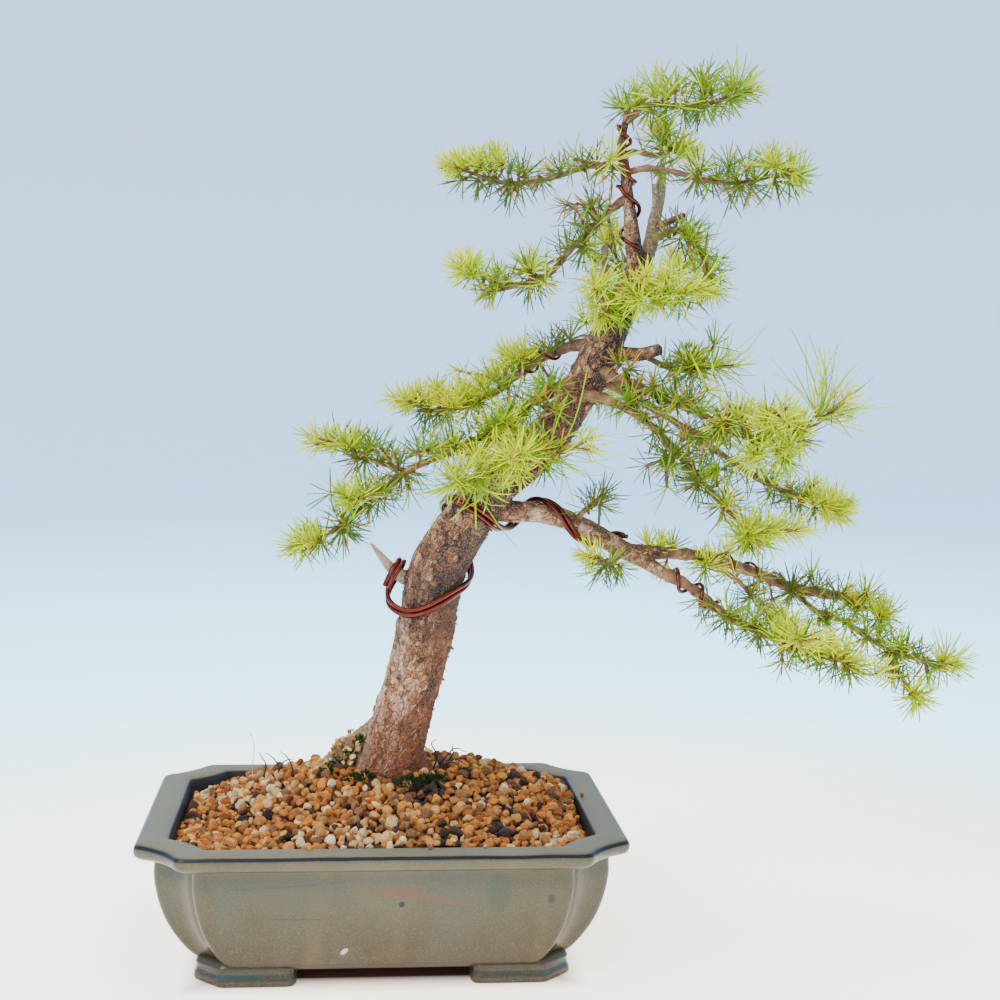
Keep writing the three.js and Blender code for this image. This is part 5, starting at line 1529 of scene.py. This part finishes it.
# %% Tufts at their places
FORWARD_SHIFT = 0.08
for seed, (name, rows) in enumerate(groupby(tuft_rows(TUFTS), key=lambda row: row[0])):
    chance = np.random.default_rng(900 + seed)
    wood = np.vstack([limb.points(np.linspace(0, limb.length, 80)) for limb in SPRAYS[name]])
    wood_seen, wood_depth = in_picture(wood)
    for _, kind, (across, down, angle, forward) in rows:
        nearest = np.linalg.norm(wood_seen - (across, down), axis=1).argmin()
        behind = chance.uniform(-5, 5) - forward * FORWARD_SHIFT
        place = out_of_picture(across, down, wood_depth[nearest] + behind)
        angle, forward = math.radians(angle + chance.normal(0, 6)), math.radians(forward)
        flat = math.cos(forward)
        axis = np.array([math.cos(angle) * flat, -math.sin(forward), math.sin(angle) * flat])
        tuft = Tuft(place, axis, kind)
        tuft.root = wood[np.linalg.norm(wood - place, axis=1).argmin()]
        tufts[name].append(tuft)
print("tufts:", sum(map(len, tufts.values())))

# %% [markdown]
# Young larch bark is smooth, tan to pink, with rings of scales where each year's growth began.
# The same finish serves all the twigs: noise stretched over the wood, and darker rings near buds.

# %% Twig bark
twig_bark = Finish("twig_bark", roughness=0.7)
tan = twig_bark.noise(160, 4, rough=0.6)
patches = twig_bark.noise(30, 2)
twig_coat = twig_bark.layers(
    twig_bark.ramp(tan, (0.32, (0.05, 0.018, 0.008)), (0.5, (0.2, 0.078, 0.028)), (0.68, (0.42, 0.21, 0.09))),
    (twig_bark.step(patches, 0.5, 0.65) * 0.5, (0.19, 0.085, 0.04)),
    (twig_bark.kept("bud") * 0.75, (0.12, 0.035, 0.01)))
twig_bark.paint(base_color=twig_coat, roughness=0.6 + tan * 0.3)
twig_bark.relief(tan + twig_bark.noise(420, 2) * 0.4, 0.001, 0.8)
print("nodes in the twigs' finish:", len(twig_bark.tree.nodes))


# %% Knobs, spurs and side twigs
def knobby(chance):
    """Relief of a twig: swellings where spurs and old needles sit."""
    phase = chance.uniform(0, 6, 3)

    def relief(row, angle):
        swell = 0.1 * np.sin(row * 1.9 + phase[0]) + 0.07 * np.sin(row * 0.83 + phase[1])
        return 1 + swell + 0.07 * np.sin(2 * angle + row * 0.7 + phase[2])

    return relief


def add_spur(heap, tuft):
    """The barrel of bud scales that a tuft sits on."""
    along = np.array([-SPUR_LENGTH, -1.2, -0.3, 0.3])
    path = tuft.place + tuft.axis * along[:, None]
    heap.add(*tube(path, [0.75, 1.0, 0.95, 0.5], 6), bud=1.0)


def add_side_twig(heap, tuft):
    """A curved twig from the wood to a tuft that was listed one by one."""
    apart = np.linalg.norm(tuft.place - tuft.root)
    if apart < 2.5:
        return
    t = np.linspace(0, 1, max(4, round(apart / 2.5)))[:, None]
    path = bow(tuft.root, tuft.place - tuft.axis * apart * 0.45, tuft.place, t)
    heap.add(*tube(path, np.linspace(0.95, 0.7, len(t)), 6), bud=0.15)


# %% Twigs of each spray
twig_pieces = []
for seed, (name, limbs) in enumerate(SPRAYS.items()):
    chance = np.random.default_rng(300 + seed)
    heap = Heap()
    for i, limb in enumerate(limbs):
        along = np.linspace(0, limb.length, max(4, round(limb.length / 2.5)) + 1)
        heap.add(*tube(limb.points(along), limb.radius(along), 10, knobby(chance)), bud=0.0)
        for shoot in shoots[name][i]:
            path = shoot.start + shoot.direction * np.linspace(0, shoot.length, 6)[:, None]
            heap.add(*tube(path, np.linspace(SHOOT_RADIUS, 0.7, 6), 7, knobby(chance)), bud=0.15)
    for tuft in tufts[name]:
        add_spur(heap, tuft)
        if tuft.root is not None:
            add_side_twig(heap, tuft)
    twig_pieces.append(heap.piece(name + "_twigs", twig_bark, "larch_foliage", [name]))
print("twigs:", triangles(*twig_pieces), "triangles")

# %% [markdown]
# ## Needles
# A tuft out of this spring's bud is a brush or a star of some thirty soft needles, bright yellow
# green, that bow outwards. Strong shoots carry tall tufts or a few long curved needles. Older tufts
# have a dozen or two stiff ones, dark or bluish green, some of them dried to straw. Each needle is
# a slim bent rod of three sides that stays even in width and closes in a short tip, and it keeps
# three numbers for its finish: how fresh it is, how dry it is, and how far from its base a point
# lies. The needles darken towards their bases: painted shade in the crowded middle of each tuft.
# The green also glows a little: painted light, for the light that shines through real needles.


# %% Kinds of tufts
class TuftKind:
    """How many needles a kind of tuft has, and how long, fresh, spread and bowed they are."""

    def __init__(self, count, longest, fresh, spread, bow, depth, dry_share):
        self.count, self.longest, self.fresh, self.spread = count, longest, fresh, spread
        self.bow, self.depth, self.dry_share = bow, depth, dry_share


TUFT_KINDS = {
    "brush": TuftKind(30, 13, 0.97, 66, 0.26, 6.5, 0),
    "star": TuftKind(27, 15.8, 0.88, 96, 0.34, 2.5, 0.02),
    "tall": TuftKind(20, 20, 0.74, 62, 0.22, 5, 0.03),
    "long": TuftKind(7, 36, 0.8, 28, 0.6, 4, 0.04),
    "green": TuftKind(19, 15.5, 0.5, 88, 0.2, 2, 0.08),
    "old": TuftKind(14, 17, 0.12, 80, 0.12, 1, 0.2),
    "straw": TuftKind(12, 13, 0.3, 84, 0.09, 1, 0.7),
}
NEEDLE_WIDTH = 0.52
NEEDLE_RINGS = {"long": (0.0, 0.22, 0.44, 0.66, 0.9), "tall": (0.0, 0.3, 0.6, 0.88)}
SHORT_RINGS = (0.0, 0.45, 0.82)
THREE_SIDES = ((0, 1), (1, 2), (2, 0))
print("kinds of tufts:", *TUFT_KINDS)


# %% One whorl of needles
def whorl(heap, tuft, chance):
    """Adds a tuft's whorl of needles to a heap, and returns how many they are."""
    kind, axis = TUFT_KINDS[tuft.kind], tuft.axis
    fullness = chance.uniform(0.8, 1.2) * (1 if tuft.root is not None else 0.5)
    count = round(kind.count * fullness)
    order = (np.arange(count) + 0.5) / count
    turn = np.arange(count) * GOLDEN_ANGLE + chance.normal(0, 0.25, count) + chance.uniform(0, 6)
    lean = np.radians(kind.spread * order**0.6 + chance.normal(0, 8, count))
    side = unit(np.cross(axis, (0.3, 0.1, 1.0) if abs(axis[2]) < 0.9 else (1.0, 0.0, 0.0)))
    other = np.cross(axis, side)
    round_axis = side * np.cos(turn)[:, None] + other * np.sin(turn)[:, None]
    way = axis * np.cos(lean)[:, None] + round_axis * np.sin(lean)[:, None]
    length = (kind.longest * chance.uniform(0.88, 1.08) * chance.uniform(0.68, 1.0, count))[:, None]
    base = tuft.place + round_axis * 0.55 - axis * (order * kind.depth - kind.depth * 0.35)[:, None]
    bend = round_axis * 0.6 + np.array([0, 0, 0.3]) - axis * 0.3 + chance.normal(0, 0.28, (count, 3))
    bend = bend * kind.bow * length
    across = unit_rows(np.cross(way, (0.2, 0.3, 0.9)))
    beyond = np.cross(way, across)
    rings = NEEDLE_RINGS.get(tuft.kind, SHORT_RINGS)
    points = []
    for reach in rings:
        middle = base + way * length * reach + bend * reach**2
        width = NEEDLE_WIDTH * (0.8 if reach == 0 else 1 if reach < 0.7 else 0.75)
        for angle in (0.0, 2.09, 4.19):
            points.append(middle + across * width * math.cos(angle) + beyond * width * 0.7 * math.sin(angle))
    points.append(base + way * length + bend)
    tip = len(points) - 1
    ring = [[k + a, k + b, k + 3 + b, k + 3 + a] for k in range(0, tip - 3, 3) for a, b in THREE_SIDES]
    ring += [[tip - 3 + a, tip - 3 + b, tip] for a, b in THREE_SIDES]
    faces = [[i * (tip + 1) + j for j in face] for i in range(count) for face in ring]
    own_fresh = np.clip(kind.fresh + chance.normal(0, 0.07) + chance.normal(0, 0.11, count), 0, 1)
    dry = np.where(chance.random(count) < kind.dry_share, chance.uniform(0.5, 1, count), 0)
    heap.add(
        np.stack(points, axis=1).reshape(-1, 3), faces, fresh=np.repeat(own_fresh, tip + 1),
        dry=np.repeat(dry, tip + 1), reach=np.tile([*np.repeat(rings, 3), 1.0], count))
    return count


# %% Needle green
# the glow is painted light, for the light that shines through real needles
needle_green = Finish("needle_green", roughness=0.5, specular_ior_level=0.05, emission_strength=0.38)
fresh, dry, reach = (needle_green.kept(name) for name in ("fresh", "dry", "reach"))
# painted shade: each needle darkens towards its base, in the crowded middle of its tuft
green = needle_green.layers(
    needle_green.ramp(
        fresh, (0.0, (0.025, 0.075, 0.022)), (0.3, (0.06, 0.15, 0.015)), (0.6, (0.2, 0.38, 0.01)),
        (0.82, (0.42, 0.56, 0.001)), (1.0, (0.7, 0.72, 0.0))),
    ((1 - reach) * 0.55, (0.2, 0.18, 0.015)),
    (dry * needle_green.step(reach, 0.1, 0.6), (0.55, 0.25, 0.06)))
needle_green.paint(base_color=green, roughness=0.42 + dry * 0.3, emission_color=green)
print("nodes in the needles' finish:", len(needle_green.tree.nodes))

# %% Tufts of each spray
needle_count = 0
needle_pieces = []
for seed, name in enumerate(SPRAYS):
    chance = np.random.default_rng(500 + seed)
    heap = Heap()
    needle_count += sum(whorl(heap, tuft, chance) for tuft in tufts[name])
    needle_pieces.append(heap.piece(name + "_needles", needle_green, "larch_foliage", [name]))
print("needles:", needle_count, "of", triangles(*needle_pieces), "triangles")

# %% [markdown]
# ## Soil
# The pot is filled with a loose bonsai mix: baked clay, tan to orange, with pale pumice and a few
# dark stones of lava. A group of dark stones in front of the trunk's foot is painted shade in the
# hollow there. A dark bed under the stones closes the view between them, and its dark colour is
# painted shade too. The stones are small rough balls, scattered on the mound that the solid has,
# one colour kind in each piece. The mound is steep at the back, so two more rows of them close it
# along the wall.

# %% The mound and its bed
SOIL_EDGE, SOIL_TOP = 65, 89
MOUND_X, MOUND_Y, MOUND_SIDE, MOUND_FRONT, MOUND_BACK = 8, 28, 112, 120, 64


def smooth_step(value, low, high):
    t = np.clip((value - low) / (high - low), 0, 1)
    return t * t * (3 - 2 * t)


def soil_height(x, y):
    """Height of the soil at points of the pot's plan."""
    edge = SOIL_EDGE + 3 * smooth_step(-y, 20, 75)
    span = np.where(y < MOUND_Y, MOUND_FRONT, MOUND_BACK)
    away = np.hypot((x - MOUND_X) / MOUND_SIDE, (y - MOUND_Y) / span)
    fullness = 1.3 + 0.9 * smooth_step(y, -30, MOUND_Y)
    return edge + (SOIL_TOP - edge) * np.maximum(0, 1 - away**fullness)


bed_ring = outline(END_RIM_WIDTH + 1.6, RIM_WIDTH + 1.6, 3, 0)
bed_rows = np.linspace(1, 0.02, 30)[:, None, None] * bed_ring[None]
bed_rows[..., 2] = soil_height(bed_rows[..., 0], bed_rows[..., 1]) - 2.6
wall_ring = outline(END_RIM_WIDTH + 5.6, RIM_WIDTH + 5.6, 3, 36)
floor_ring = outline(END_RIM_WIDTH + 20, RIM_WIDTH + 20, 1, FLOOR_TOP + 1.8)
bed = Heap()
bed_points = np.vstack([floor_ring, wall_ring, bed_rows.reshape(-1, 3)])
bed_ends = [(0, 0, FLOOR_TOP + 1.8), (0, 0, soil_height(0.0, 0.0) - 2.6)]
bed.add(np.vstack([bed_points, bed_ends]), skin_faces(len(bed_rows) + 2, len(bed_ring)))
# painted shade: the bed is dark so that the gaps between the stones read as shade
bed_finish = Finish("damp_bed", roughness=0.95)
crumbs = bed_finish.cells(260)
bed_finish.paint(base_color=bed_finish.ramp(crumbs, (0.1, (0.1, 0.045, 0.02)), (0.8, (0.025, 0.014, 0.01))))
bed_finish.relief(1 - crumbs, 0.002, 0.8)
soil_bed = bed.piece("soil_bed", bed_finish, "soil", ["soil"])
print("bed:", triangles(soil_bed), "triangles")


# %% Scatter of the stones
LOOSENESS = 0.36
BACK_ROWS, BACK_COUNT = (2.3, 5.2), 50


def inside_pot(x, y, margin):
    """Whether points of the plan lie inside the rim, with its cut corners."""
    half_x, half_y = POT_LENGTH / 2 - END_RIM_WIDTH - margin, POT_DEPTH / 2 - RIM_WIDTH - margin
    corner = half_x + half_y - CORNER_CUT + margin * 0.2
    return (np.abs(x) < half_x) & (np.abs(y) < half_y) & (np.abs(x) + np.abs(y) < corner)


def scatter(spacing, chance):
    """Points of a loose hexagonal pattern over the soil."""
    rows = np.arange(-POT_DEPTH / 2, POT_DEPTH / 2, spacing * 0.866)
    columns = np.arange(-POT_LENGTH / 2, POT_LENGTH / 2, spacing)
    x, y = np.meshgrid(columns, rows)
    x = x + (np.arange(len(rows)) % 2)[:, None] * spacing / 2
    x = (x + chance.uniform(-LOOSENESS, LOOSENESS, x.shape) * spacing).ravel()
    y = (y + chance.uniform(-LOOSENESS, LOOSENESS, y.shape) * spacing).ravel()
    keep = inside_pot(x, y, 3.2)
    return x[keep], y[keep]


chance = np.random.default_rng(77)
x, y = scatter(4.7, chance)
upper_x, upper_y = scatter(9.5, chance)
size = chance.uniform(1.9, 3.1, len(x))
upper_size = chance.uniform(2.2, 3.6, len(upper_x))
stone_x, stone_y = np.concatenate([x, upper_x]), np.concatenate([y, upper_y])
stone_size = np.concatenate([size, upper_size])
stone_z = soil_height(stone_x, stone_y) - 1.2 + chance.uniform(-0.9, 0.9, len(stone_x))
stone_z[len(x):] += 2.2
count = len(BACK_ROWS) * BACK_COUNT
back_x = np.tile(np.linspace(-98, 98, BACK_COUNT), len(BACK_ROWS)) + chance.uniform(-1, 1, count)
back_y = POT_DEPTH / 2 - RIM_WIDTH - np.repeat(BACK_ROWS, BACK_COUNT) + chance.uniform(-0.4, 0.4, count)
stone_x, stone_y = np.append(stone_x, back_x), np.append(stone_y, back_y)
stone_z = np.append(stone_z, soil_height(back_x, back_y) - 0.6 + chance.uniform(-0.5, 0.9, count))
stone_size = np.append(stone_size, chance.uniform(1.9, 2.7, count))
at_trunk = np.hypot(stone_x - 5, stone_y - 14.5) < 18
stones = np.column_stack([stone_x, stone_y, stone_z])[~at_trunk]
stone_size = stone_size[~at_trunk]
print("stones:", len(stones))

# %% Rough balls
ball = bmesh.new()
bmesh.ops.create_icosphere(ball, subdivisions=2, radius=1)
BALL_POINTS = np.array([v.co for v in ball.verts])
BALL_FACES = [[v.index for v in f.verts] for f in ball.faces]
ball.free()
print("points and faces of a ball:", len(BALL_POINTS), len(BALL_FACES))


def add_stone(heap, place, size, chance):
    """Adds a rough stone: a ball squeezed, broken off flat here and there, and turned."""
    flats = unit_rows(chance.normal(size=(9, 3)))
    depth = chance.uniform(0.48, 0.86, 9)
    reach = BALL_POINTS @ flats.T
    bulge = np.min(np.where(reach > depth, depth / np.maximum(reach, 0.01), 1), axis=1)
    bulge = bulge * (1 + chance.normal(0, 0.06, len(BALL_POINTS)))
    shape = BALL_POINTS * bulge[:, None] * chance.uniform(0.78, 1.28, 3)
    turn = np.linalg.qr(chance.normal(size=(3, 3)))[0]
    heap.add(shape @ (turn * np.sign(np.linalg.det(turn))) * size + place, BALL_FACES, tint=chance.random())


# %% Pale and dark groups
def near_any(points, spots, reach):
    """Whether points of the plan lie near any of some spots."""
    apart = points[:, None, :2] - np.array(spots)[None]
    return np.any(np.hypot(apart[..., 0], apart[..., 1]) < reach, axis=1)


PALE_SPOTS = [
    (-95, 60), (-88, 40), (-79, 15), (-66, -4), (-72, 26), (-33, -61), (-17, -64), (0, -68), (90, -60)]
# Dark lava stones gather round these spots. The last three, in front of the trunk's foot, are painted shade
# in the hollow there.
LAVA_AND_SHADE_SPOTS = [
    (-80, 0), (-74, -23), (-105, -5), (-16, -33), (-12, -30), (67, -23), (64, -40), (62, -56), (66, -57),
    (32, -69), (-48, -61), (70, 20), (20, -14), (28, -12), (24, -8)]
kinds = chance.random(len(stones))
pale = kinds < np.where(near_any(stones, PALE_SPOTS, 13), 0.55, 0.055)
dark = kinds > np.where(near_any(stones, LAVA_AND_SHADE_SPOTS, 6), 0.45, 0.955)
clay_heap, pumice_heap, lava_heap = Heap(), Heap(), Heap()
for place, size, is_pale, is_dark in zip(stones, stone_size, pale, dark):
    add_stone(pumice_heap if is_pale else lava_heap if is_dark else clay_heap, place, size, chance)
print("pale stones:", sum(pale), "dark stones:", sum(dark))

# %% [markdown]
# A bank of small pale stones leans on the left root, and a few stones lie on the rim, where they
# fell when the pot was filled.

# %% A bank on the root, and stones on the rim
RIM_STONES = [(22, -85), (50, -84), (-38, -83), (113, 12), (60, 84)]
flare = ROOTS[0]
for _ in range(90):
    along = chance.uniform(22, flare.length)
    angle = math.radians(chance.uniform(-20, 200))
    reach = float(flare.radius(along)) + chance.uniform(-0.6, 1.8)
    away = np.array([-0.45 * math.sin(angle), math.cos(angle), math.sin(angle)])
    place = flare.points(along)[0] + away * reach
    add_stone(pumice_heap if chance.random() < 0.6 else clay_heap, place, chance.uniform(1.1, 2.1), chance)
for x, y in RIM_STONES:
    size = chance.uniform(1.5, 2.2)
    add_stone(clay_heap, (x, y, POT_HEIGHT + size * 0.75), size, chance)
print("stones with the bank:", (clay_heap.count + pumice_heap.count + lava_heap.count) // len(BALL_POINTS))

# %% [markdown]
# Each stone keeps a chance number, its tint, so that one finish gives every stone its own shade.
# Baked clay is matt and dusty, pumice is pale with small holes, and lava is nearly black.


# %% Finishes of the stones
DARK_PORES = (0.075, 0.025, 0.008)


def stone_finish(name, shades, dust):
    """A matt stone: its shade by its own tint, with dusty patches and a grainy skin."""
    made = Finish(name, roughness=0.95)
    grains = made.noise(650, 4, rough=0.7)
    shade = made.layers(
        made.ramp(made.kept("tint"), *shades),
        (made.step(grains, 0.52, 0.72) * 0.5, dust),
        (made.step(made.noise(240, 2), 0.5, 0.3) * 0.45, DARK_PORES))
    made.paint(base_color=shade, roughness=0.85 + grains * 0.15)
    made.relief(grains, 0.0016, 0.9)
    return made


CLAY_SHADES = [
    (0.0, (0.23, 0.054, 0.006)), (0.2, (0.46, 0.125, 0.009)), (0.42, (0.66, 0.23, 0.021)),
    (0.56, (0.3, 0.115, 0.026)), (0.7, (0.09, 0.035, 0.012)), (0.85, (0.54, 0.22, 0.042)),
    (1.0, (0.78, 0.39, 0.1))]
PUMICE_SHADES = [(0.0, (0.46, 0.25, 0.08)), (0.5, (0.72, 0.45, 0.18)), (1.0, (0.88, 0.64, 0.32))]
LAVA_SHADES = [(0.0, (0.014, 0.006, 0.003)), (1.0, (0.06, 0.021, 0.008))]
for name, finish_name, heap, shades, dust in (
        ("clay_granules", "baked_clay", clay_heap, CLAY_SHADES, (0.64, 0.3, 0.065)),
        ("pumice_granules", "pumice", pumice_heap, PUMICE_SHADES, (0.9, 0.68, 0.38)),
        ("lava_granules", "lava", lava_heap, LAVA_SHADES, (0.1, 0.038, 0.014))):
    made = heap.piece(name, stone_finish(finish_name, shades, dust), "soil", ["soil"])
    made.data.set_sharp_from_angle(angle=math.radians(36))
    print(made.name, triangles(made), "triangles")

# %% [markdown]
# Moss cushions grow where the trunk shades the soil, and dead rootlets and a dry stalk stick out of
# it. Moss is a low mound of hundreds of tiny pointed leaves. The rootlets are thin tubes.

# %% Moss
moss_green = Finish("moss_green", roughness=0.7, specular_ior_level=0.2)
moss_tone = moss_green.noise(500, 3) * 0.6 + moss_green.kept("tint") * 0.5
moss_green.paint(base_color=moss_green.ramp(
    moss_tone, (0.2, (0.003, 0.008, 0.002)), (0.55, (0.01, 0.028, 0.004)), (0.9, (0.055, 0.09, 0.012))))
MOSS_CUSHIONS = [
    (14, -12, 87, 7.5, 4), (23, -8, 87, 6.5, 3.6), (31, -3, 86.5, 5, 2.6), (-9, -3, 87.5, 5, 4),
    (-16, -2, 87, 4.5, 3), (-12, 10, 105, 3.2, 3), (-18, 11, 99, 3.6, 3.2), (-24, 12, 93, 3.6, 3),
    (-30, 12, 89, 3.8, 2.6), (30, 3, 87, 5, 2.4), (46, 12, 86, 4, 2), (84, 16, 73, 4, 1.8)]
chance = np.random.default_rng(41)
moss = Heap()
for x, y, z, size, rise in MOSS_CUSHIONS:
    for _ in range(round(26 * size)):
        away, turn = math.sqrt(chance.random()), chance.uniform(0, 2 * math.pi)
        out = np.array([away * math.cos(turn), away * math.sin(turn), 1.1 - away])
        root = np.array([x, y, z]) + out * (size, size, rise) - (0, 0, 1.2)
        way = unit(out + chance.normal(0, 0.3, 3))
        leaf = root + way * np.array([[0], [1.1], [chance.uniform(1.9, 2.8)]])
        moss.add(*tube(leaf, [0.42, 0.3, 0.07], 3), tint=chance.random())
moss_piece = moss.piece("moss_cushions", moss_green, "soil", ["soil"])
print("moss:", triangles(moss_piece))

# %% Rootlets and a stalk
ROOTLETS = [
    ((-58, 26, 79), (-58, 26, 87), (-61, 24, 92), (-65, 22, 95)),
    ((-58, 26, 85), (-54, 24, 90), (-50, 20, 92)),
    ((-50, 19, 80), (-50, 19, 88), (-53, 21, 93), (-57, 22, 96)),
    ((-66, 27, 80), (-65, 26, 88), (-69, 24, 95)),
    ((28, 14, 86), (31, 13, 96), (27, 10, 103), (30, 8, 106)),
    ((30, 18, 86), (37, 17, 95), (42, 15, 99), (47, 14, 97)),
    ((33, 16, 85), (36, 14, 91), (42, 13, 93), (47, 12, 90)),
    ((31, 12, 86), (35, 9, 92), (41, 8, 92), (45, 9, 88)),
    ((18, -8, 84), (22, -10, 90), (20, -13, 93)), ((36, 20, 88), (40, 20, 95), (39, 18, 101)),
]
STALK = [(-72, 28, 78), (-72.5, 28, 88), (-71.5, 28, 96), (-73, 28, 104)]
STALK_HEAD = [(-73, 28, 103.6), (-73.4, 27.8, 104.6), (-73.9, 27.6, 105.4)]
rootlet_bark = Finish("dead_rootlets", roughness=0.6)
rootlet_bark.paint(base_color=rootlet_bark.ramp(
    rootlet_bark.noise(300, 3), (0.3, (0.012, 0.009, 0.008)), (0.7, (0.045, 0.03, 0.025))))
rootlet_bark.relief(rootlet_bark.noise(900, 2), 0.0004, 0.5)
rootlets = Heap()
for row in ROOTLETS:
    path = curve_at(row, np.linspace(0, len(row) - 1, 14)) + chance.normal(0, 0.16, (14, 3))
    rootlets.add(*tube(path, np.linspace(0.62, 0.22, 14), 7))
rootlet_piece = rootlets.piece("dead_rootlets", rootlet_bark, "soil", ["soil"])
straw_skin = Finish("dry_stalk", roughness=0.7)
straw_skin.paint(base_color=straw_skin.ramp(
    straw_skin.noise(200, 2), (0.3, (0.4, 0.28, 0.16)), (0.7, (0.62, 0.48, 0.32))))
stalk = Heap()
stalk.add(*tube(curve_at(STALK, np.linspace(0, 3, 16)), np.linspace(0.32, 0.16, 16), 6))
stalk.add(*tube(STALK_HEAD, [0.2, 0.42, 0.15], 6))
stalk_piece = stalk.piece("dry_stalk", straw_skin, "soil", ["soil"])
print("rootlets and stalk:", triangles(rootlet_piece, stalk_piece))

# %% [markdown]
# ## Floor and light
# The object stands on a plain pale floor that curves up into a wall all round, so no horizon shows
# from any side. Its tone goes from cream round the pot to pale blue further out and higher up. It
# glows, as brightly lit paper does, but not under the pot, where it is painted dark brown instead: a
# painted shadow of the pot.

# %% Sweep
# distance from the middle and height of the sweep, in metres
SWEEP_PROFILE = [(0.01, 0.0), (0.6, 0.0), (1.3, 0.0), (1.75, 0.12), (2.1, 0.5), (2.25, 1.1), (2.3, 2.6)]
SWEEP_SIDES = 96
sweep_rows = curve_at([(r, 0, z) for r, z in SWEEP_PROFILE], np.linspace(0, len(SWEEP_PROFILE) - 1, 49))
turns = np.arange(SWEEP_SIDES) * 2 * math.pi / SWEEP_SIDES
sweep_points = np.stack([
    sweep_rows[:, :1] * np.cos(turns), sweep_rows[:, :1] * np.sin(turns),
    np.repeat(sweep_rows[:, 2:], SWEEP_SIDES, axis=1)], axis=2).reshape(-1, 3)
sweep_mesh = bpy.data.meshes.new("sweep")
sweep_faces = skin_faces(len(sweep_rows), SWEEP_SIDES, closed=False) + [list(range(SWEEP_SIDES))]
sweep_mesh.from_pydata(sweep_points, [], sweep_faces)
sweep_mesh.polygons.foreach_set("use_smooth", [True] * len(sweep_mesh.polygons))
sweep = in_scene("sweep", sweep_mesh)
print("sweep:", len(sweep_faces), "faces")

# %% Tones of the sweep
paper = Finish("pale_sweep", roughness=0.9, emission_strength=2.6)
level = paper.place("Z")
far_out = paper.node("ShaderNodeVectorMath", {"operation": "LENGTH"}, {0: paper.place()}, out=1)


def sweep_tone(cream, cyan, azure, low_wall, high_wall):
    """A tone that goes from the pot outwards over the floor, and then up the wall."""
    floor = paper.ramp(
        paper.step(far_out, 0.0, 2.0), (0.1, cream), (0.31, cyan), (0.66, azure), (1.0, low_wall))
    wall = paper.ramp(level, (0.05, low_wall), (0.7, high_wall))
    return paper.mix(paper.step(level, 0.0, 0.1), floor, wall)


def away_from_pot(axis, middle, low, high):
    """0 under the pot and 1 outside it, along one axis."""
    apart = paper.place(axis) - middle
    return paper.step(apart.maths("ABSOLUTE", apart), low, high)


beside_ends = away_from_pot("X", float(POT_CENTRE[0]), 0.086, 0.104)
beside_sides = away_from_pot("Y", float(POT_CENTRE[1]), 0.068, 0.09)
beside_pot = beside_ends.maths("MAXIMUM", beside_ends, beside_sides)
glow = sweep_tone(
    (1.0, 0.84, 0.68), (0.26, 0.8, 0.95), (0.1, 0.52, 0.74), (0.0, 0.17, 0.3), (0.06, 0.08, 0.13))
tone = sweep_tone(
    (0.95, 0.89, 0.82), (0.84, 0.92, 0.93), (0.74, 0.87, 0.95), (0.6, 0.72, 0.86), (0.58, 0.64, 0.78))
# painted shadow: under the pot the floor's colour is dark brown, and it doesn't glow there
paper.paint(
    base_color=paper.mix(beside_pot, (0.14, 0.06, 0.03), tone),
    emission_color=paper.mix(beside_pot, (0.0, 0.0, 0.0), glow),
)
sweep_mesh.materials.append(paper.material)
sweep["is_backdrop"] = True
print("nodes in the sweep's finish:", len(paper.tree.nodes))


# %% Soft lights
TREE_MIDDLE = (0, 0, 0.22)


def soft_light(name, place, power, size, colour=(1.0, 1.0, 1.0)):
    """A square soft light that faces the middle of the tree."""
    lamp = bpy.data.lights.new(name, "AREA")
    lamp.energy, lamp.size, lamp.color = power, size, colour
    made = in_scene(name, lamp)
    made.location = place
    made.rotation_euler = (Vector(TREE_MIDDLE) - Vector(place)).to_track_quat("-Z", "Y").to_euler()


soft_light("key", (-1.0, -1.0, 1.4), 30, 0.8, (1.0, 0.92, 0.82))
soft_light("fill", (1.3, -0.9, 0.7), 3, 1.2)
soft_light("top", (0.0, 0.2, 1.9), 24, 1.2, (1.0, 0.95, 0.88))
world = bpy.data.worlds.new("studio")
world.use_nodes = True
background = world.node_tree.nodes["Background"]
background.inputs["Color"].default_value = (1.0, 0.97, 0.93, 1)
background.inputs["Strength"].default_value = 0.9
bpy.context.scene.world = world

# %% [markdown]
# ## The size
# The dressed tree must be as large as its solids, so both boxes are printed, one above the other.

# %% Print the sizes and finish
low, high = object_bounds()
sizes = {"solids": [list(solid_low), list(solid_high)], "dressed": [list(low), list(high)]}
print("solids ", [round(c, 4) for c in (*solid_low, *solid_high)])
print("dressed", [round(c, 4) for c in (*low, *high)])
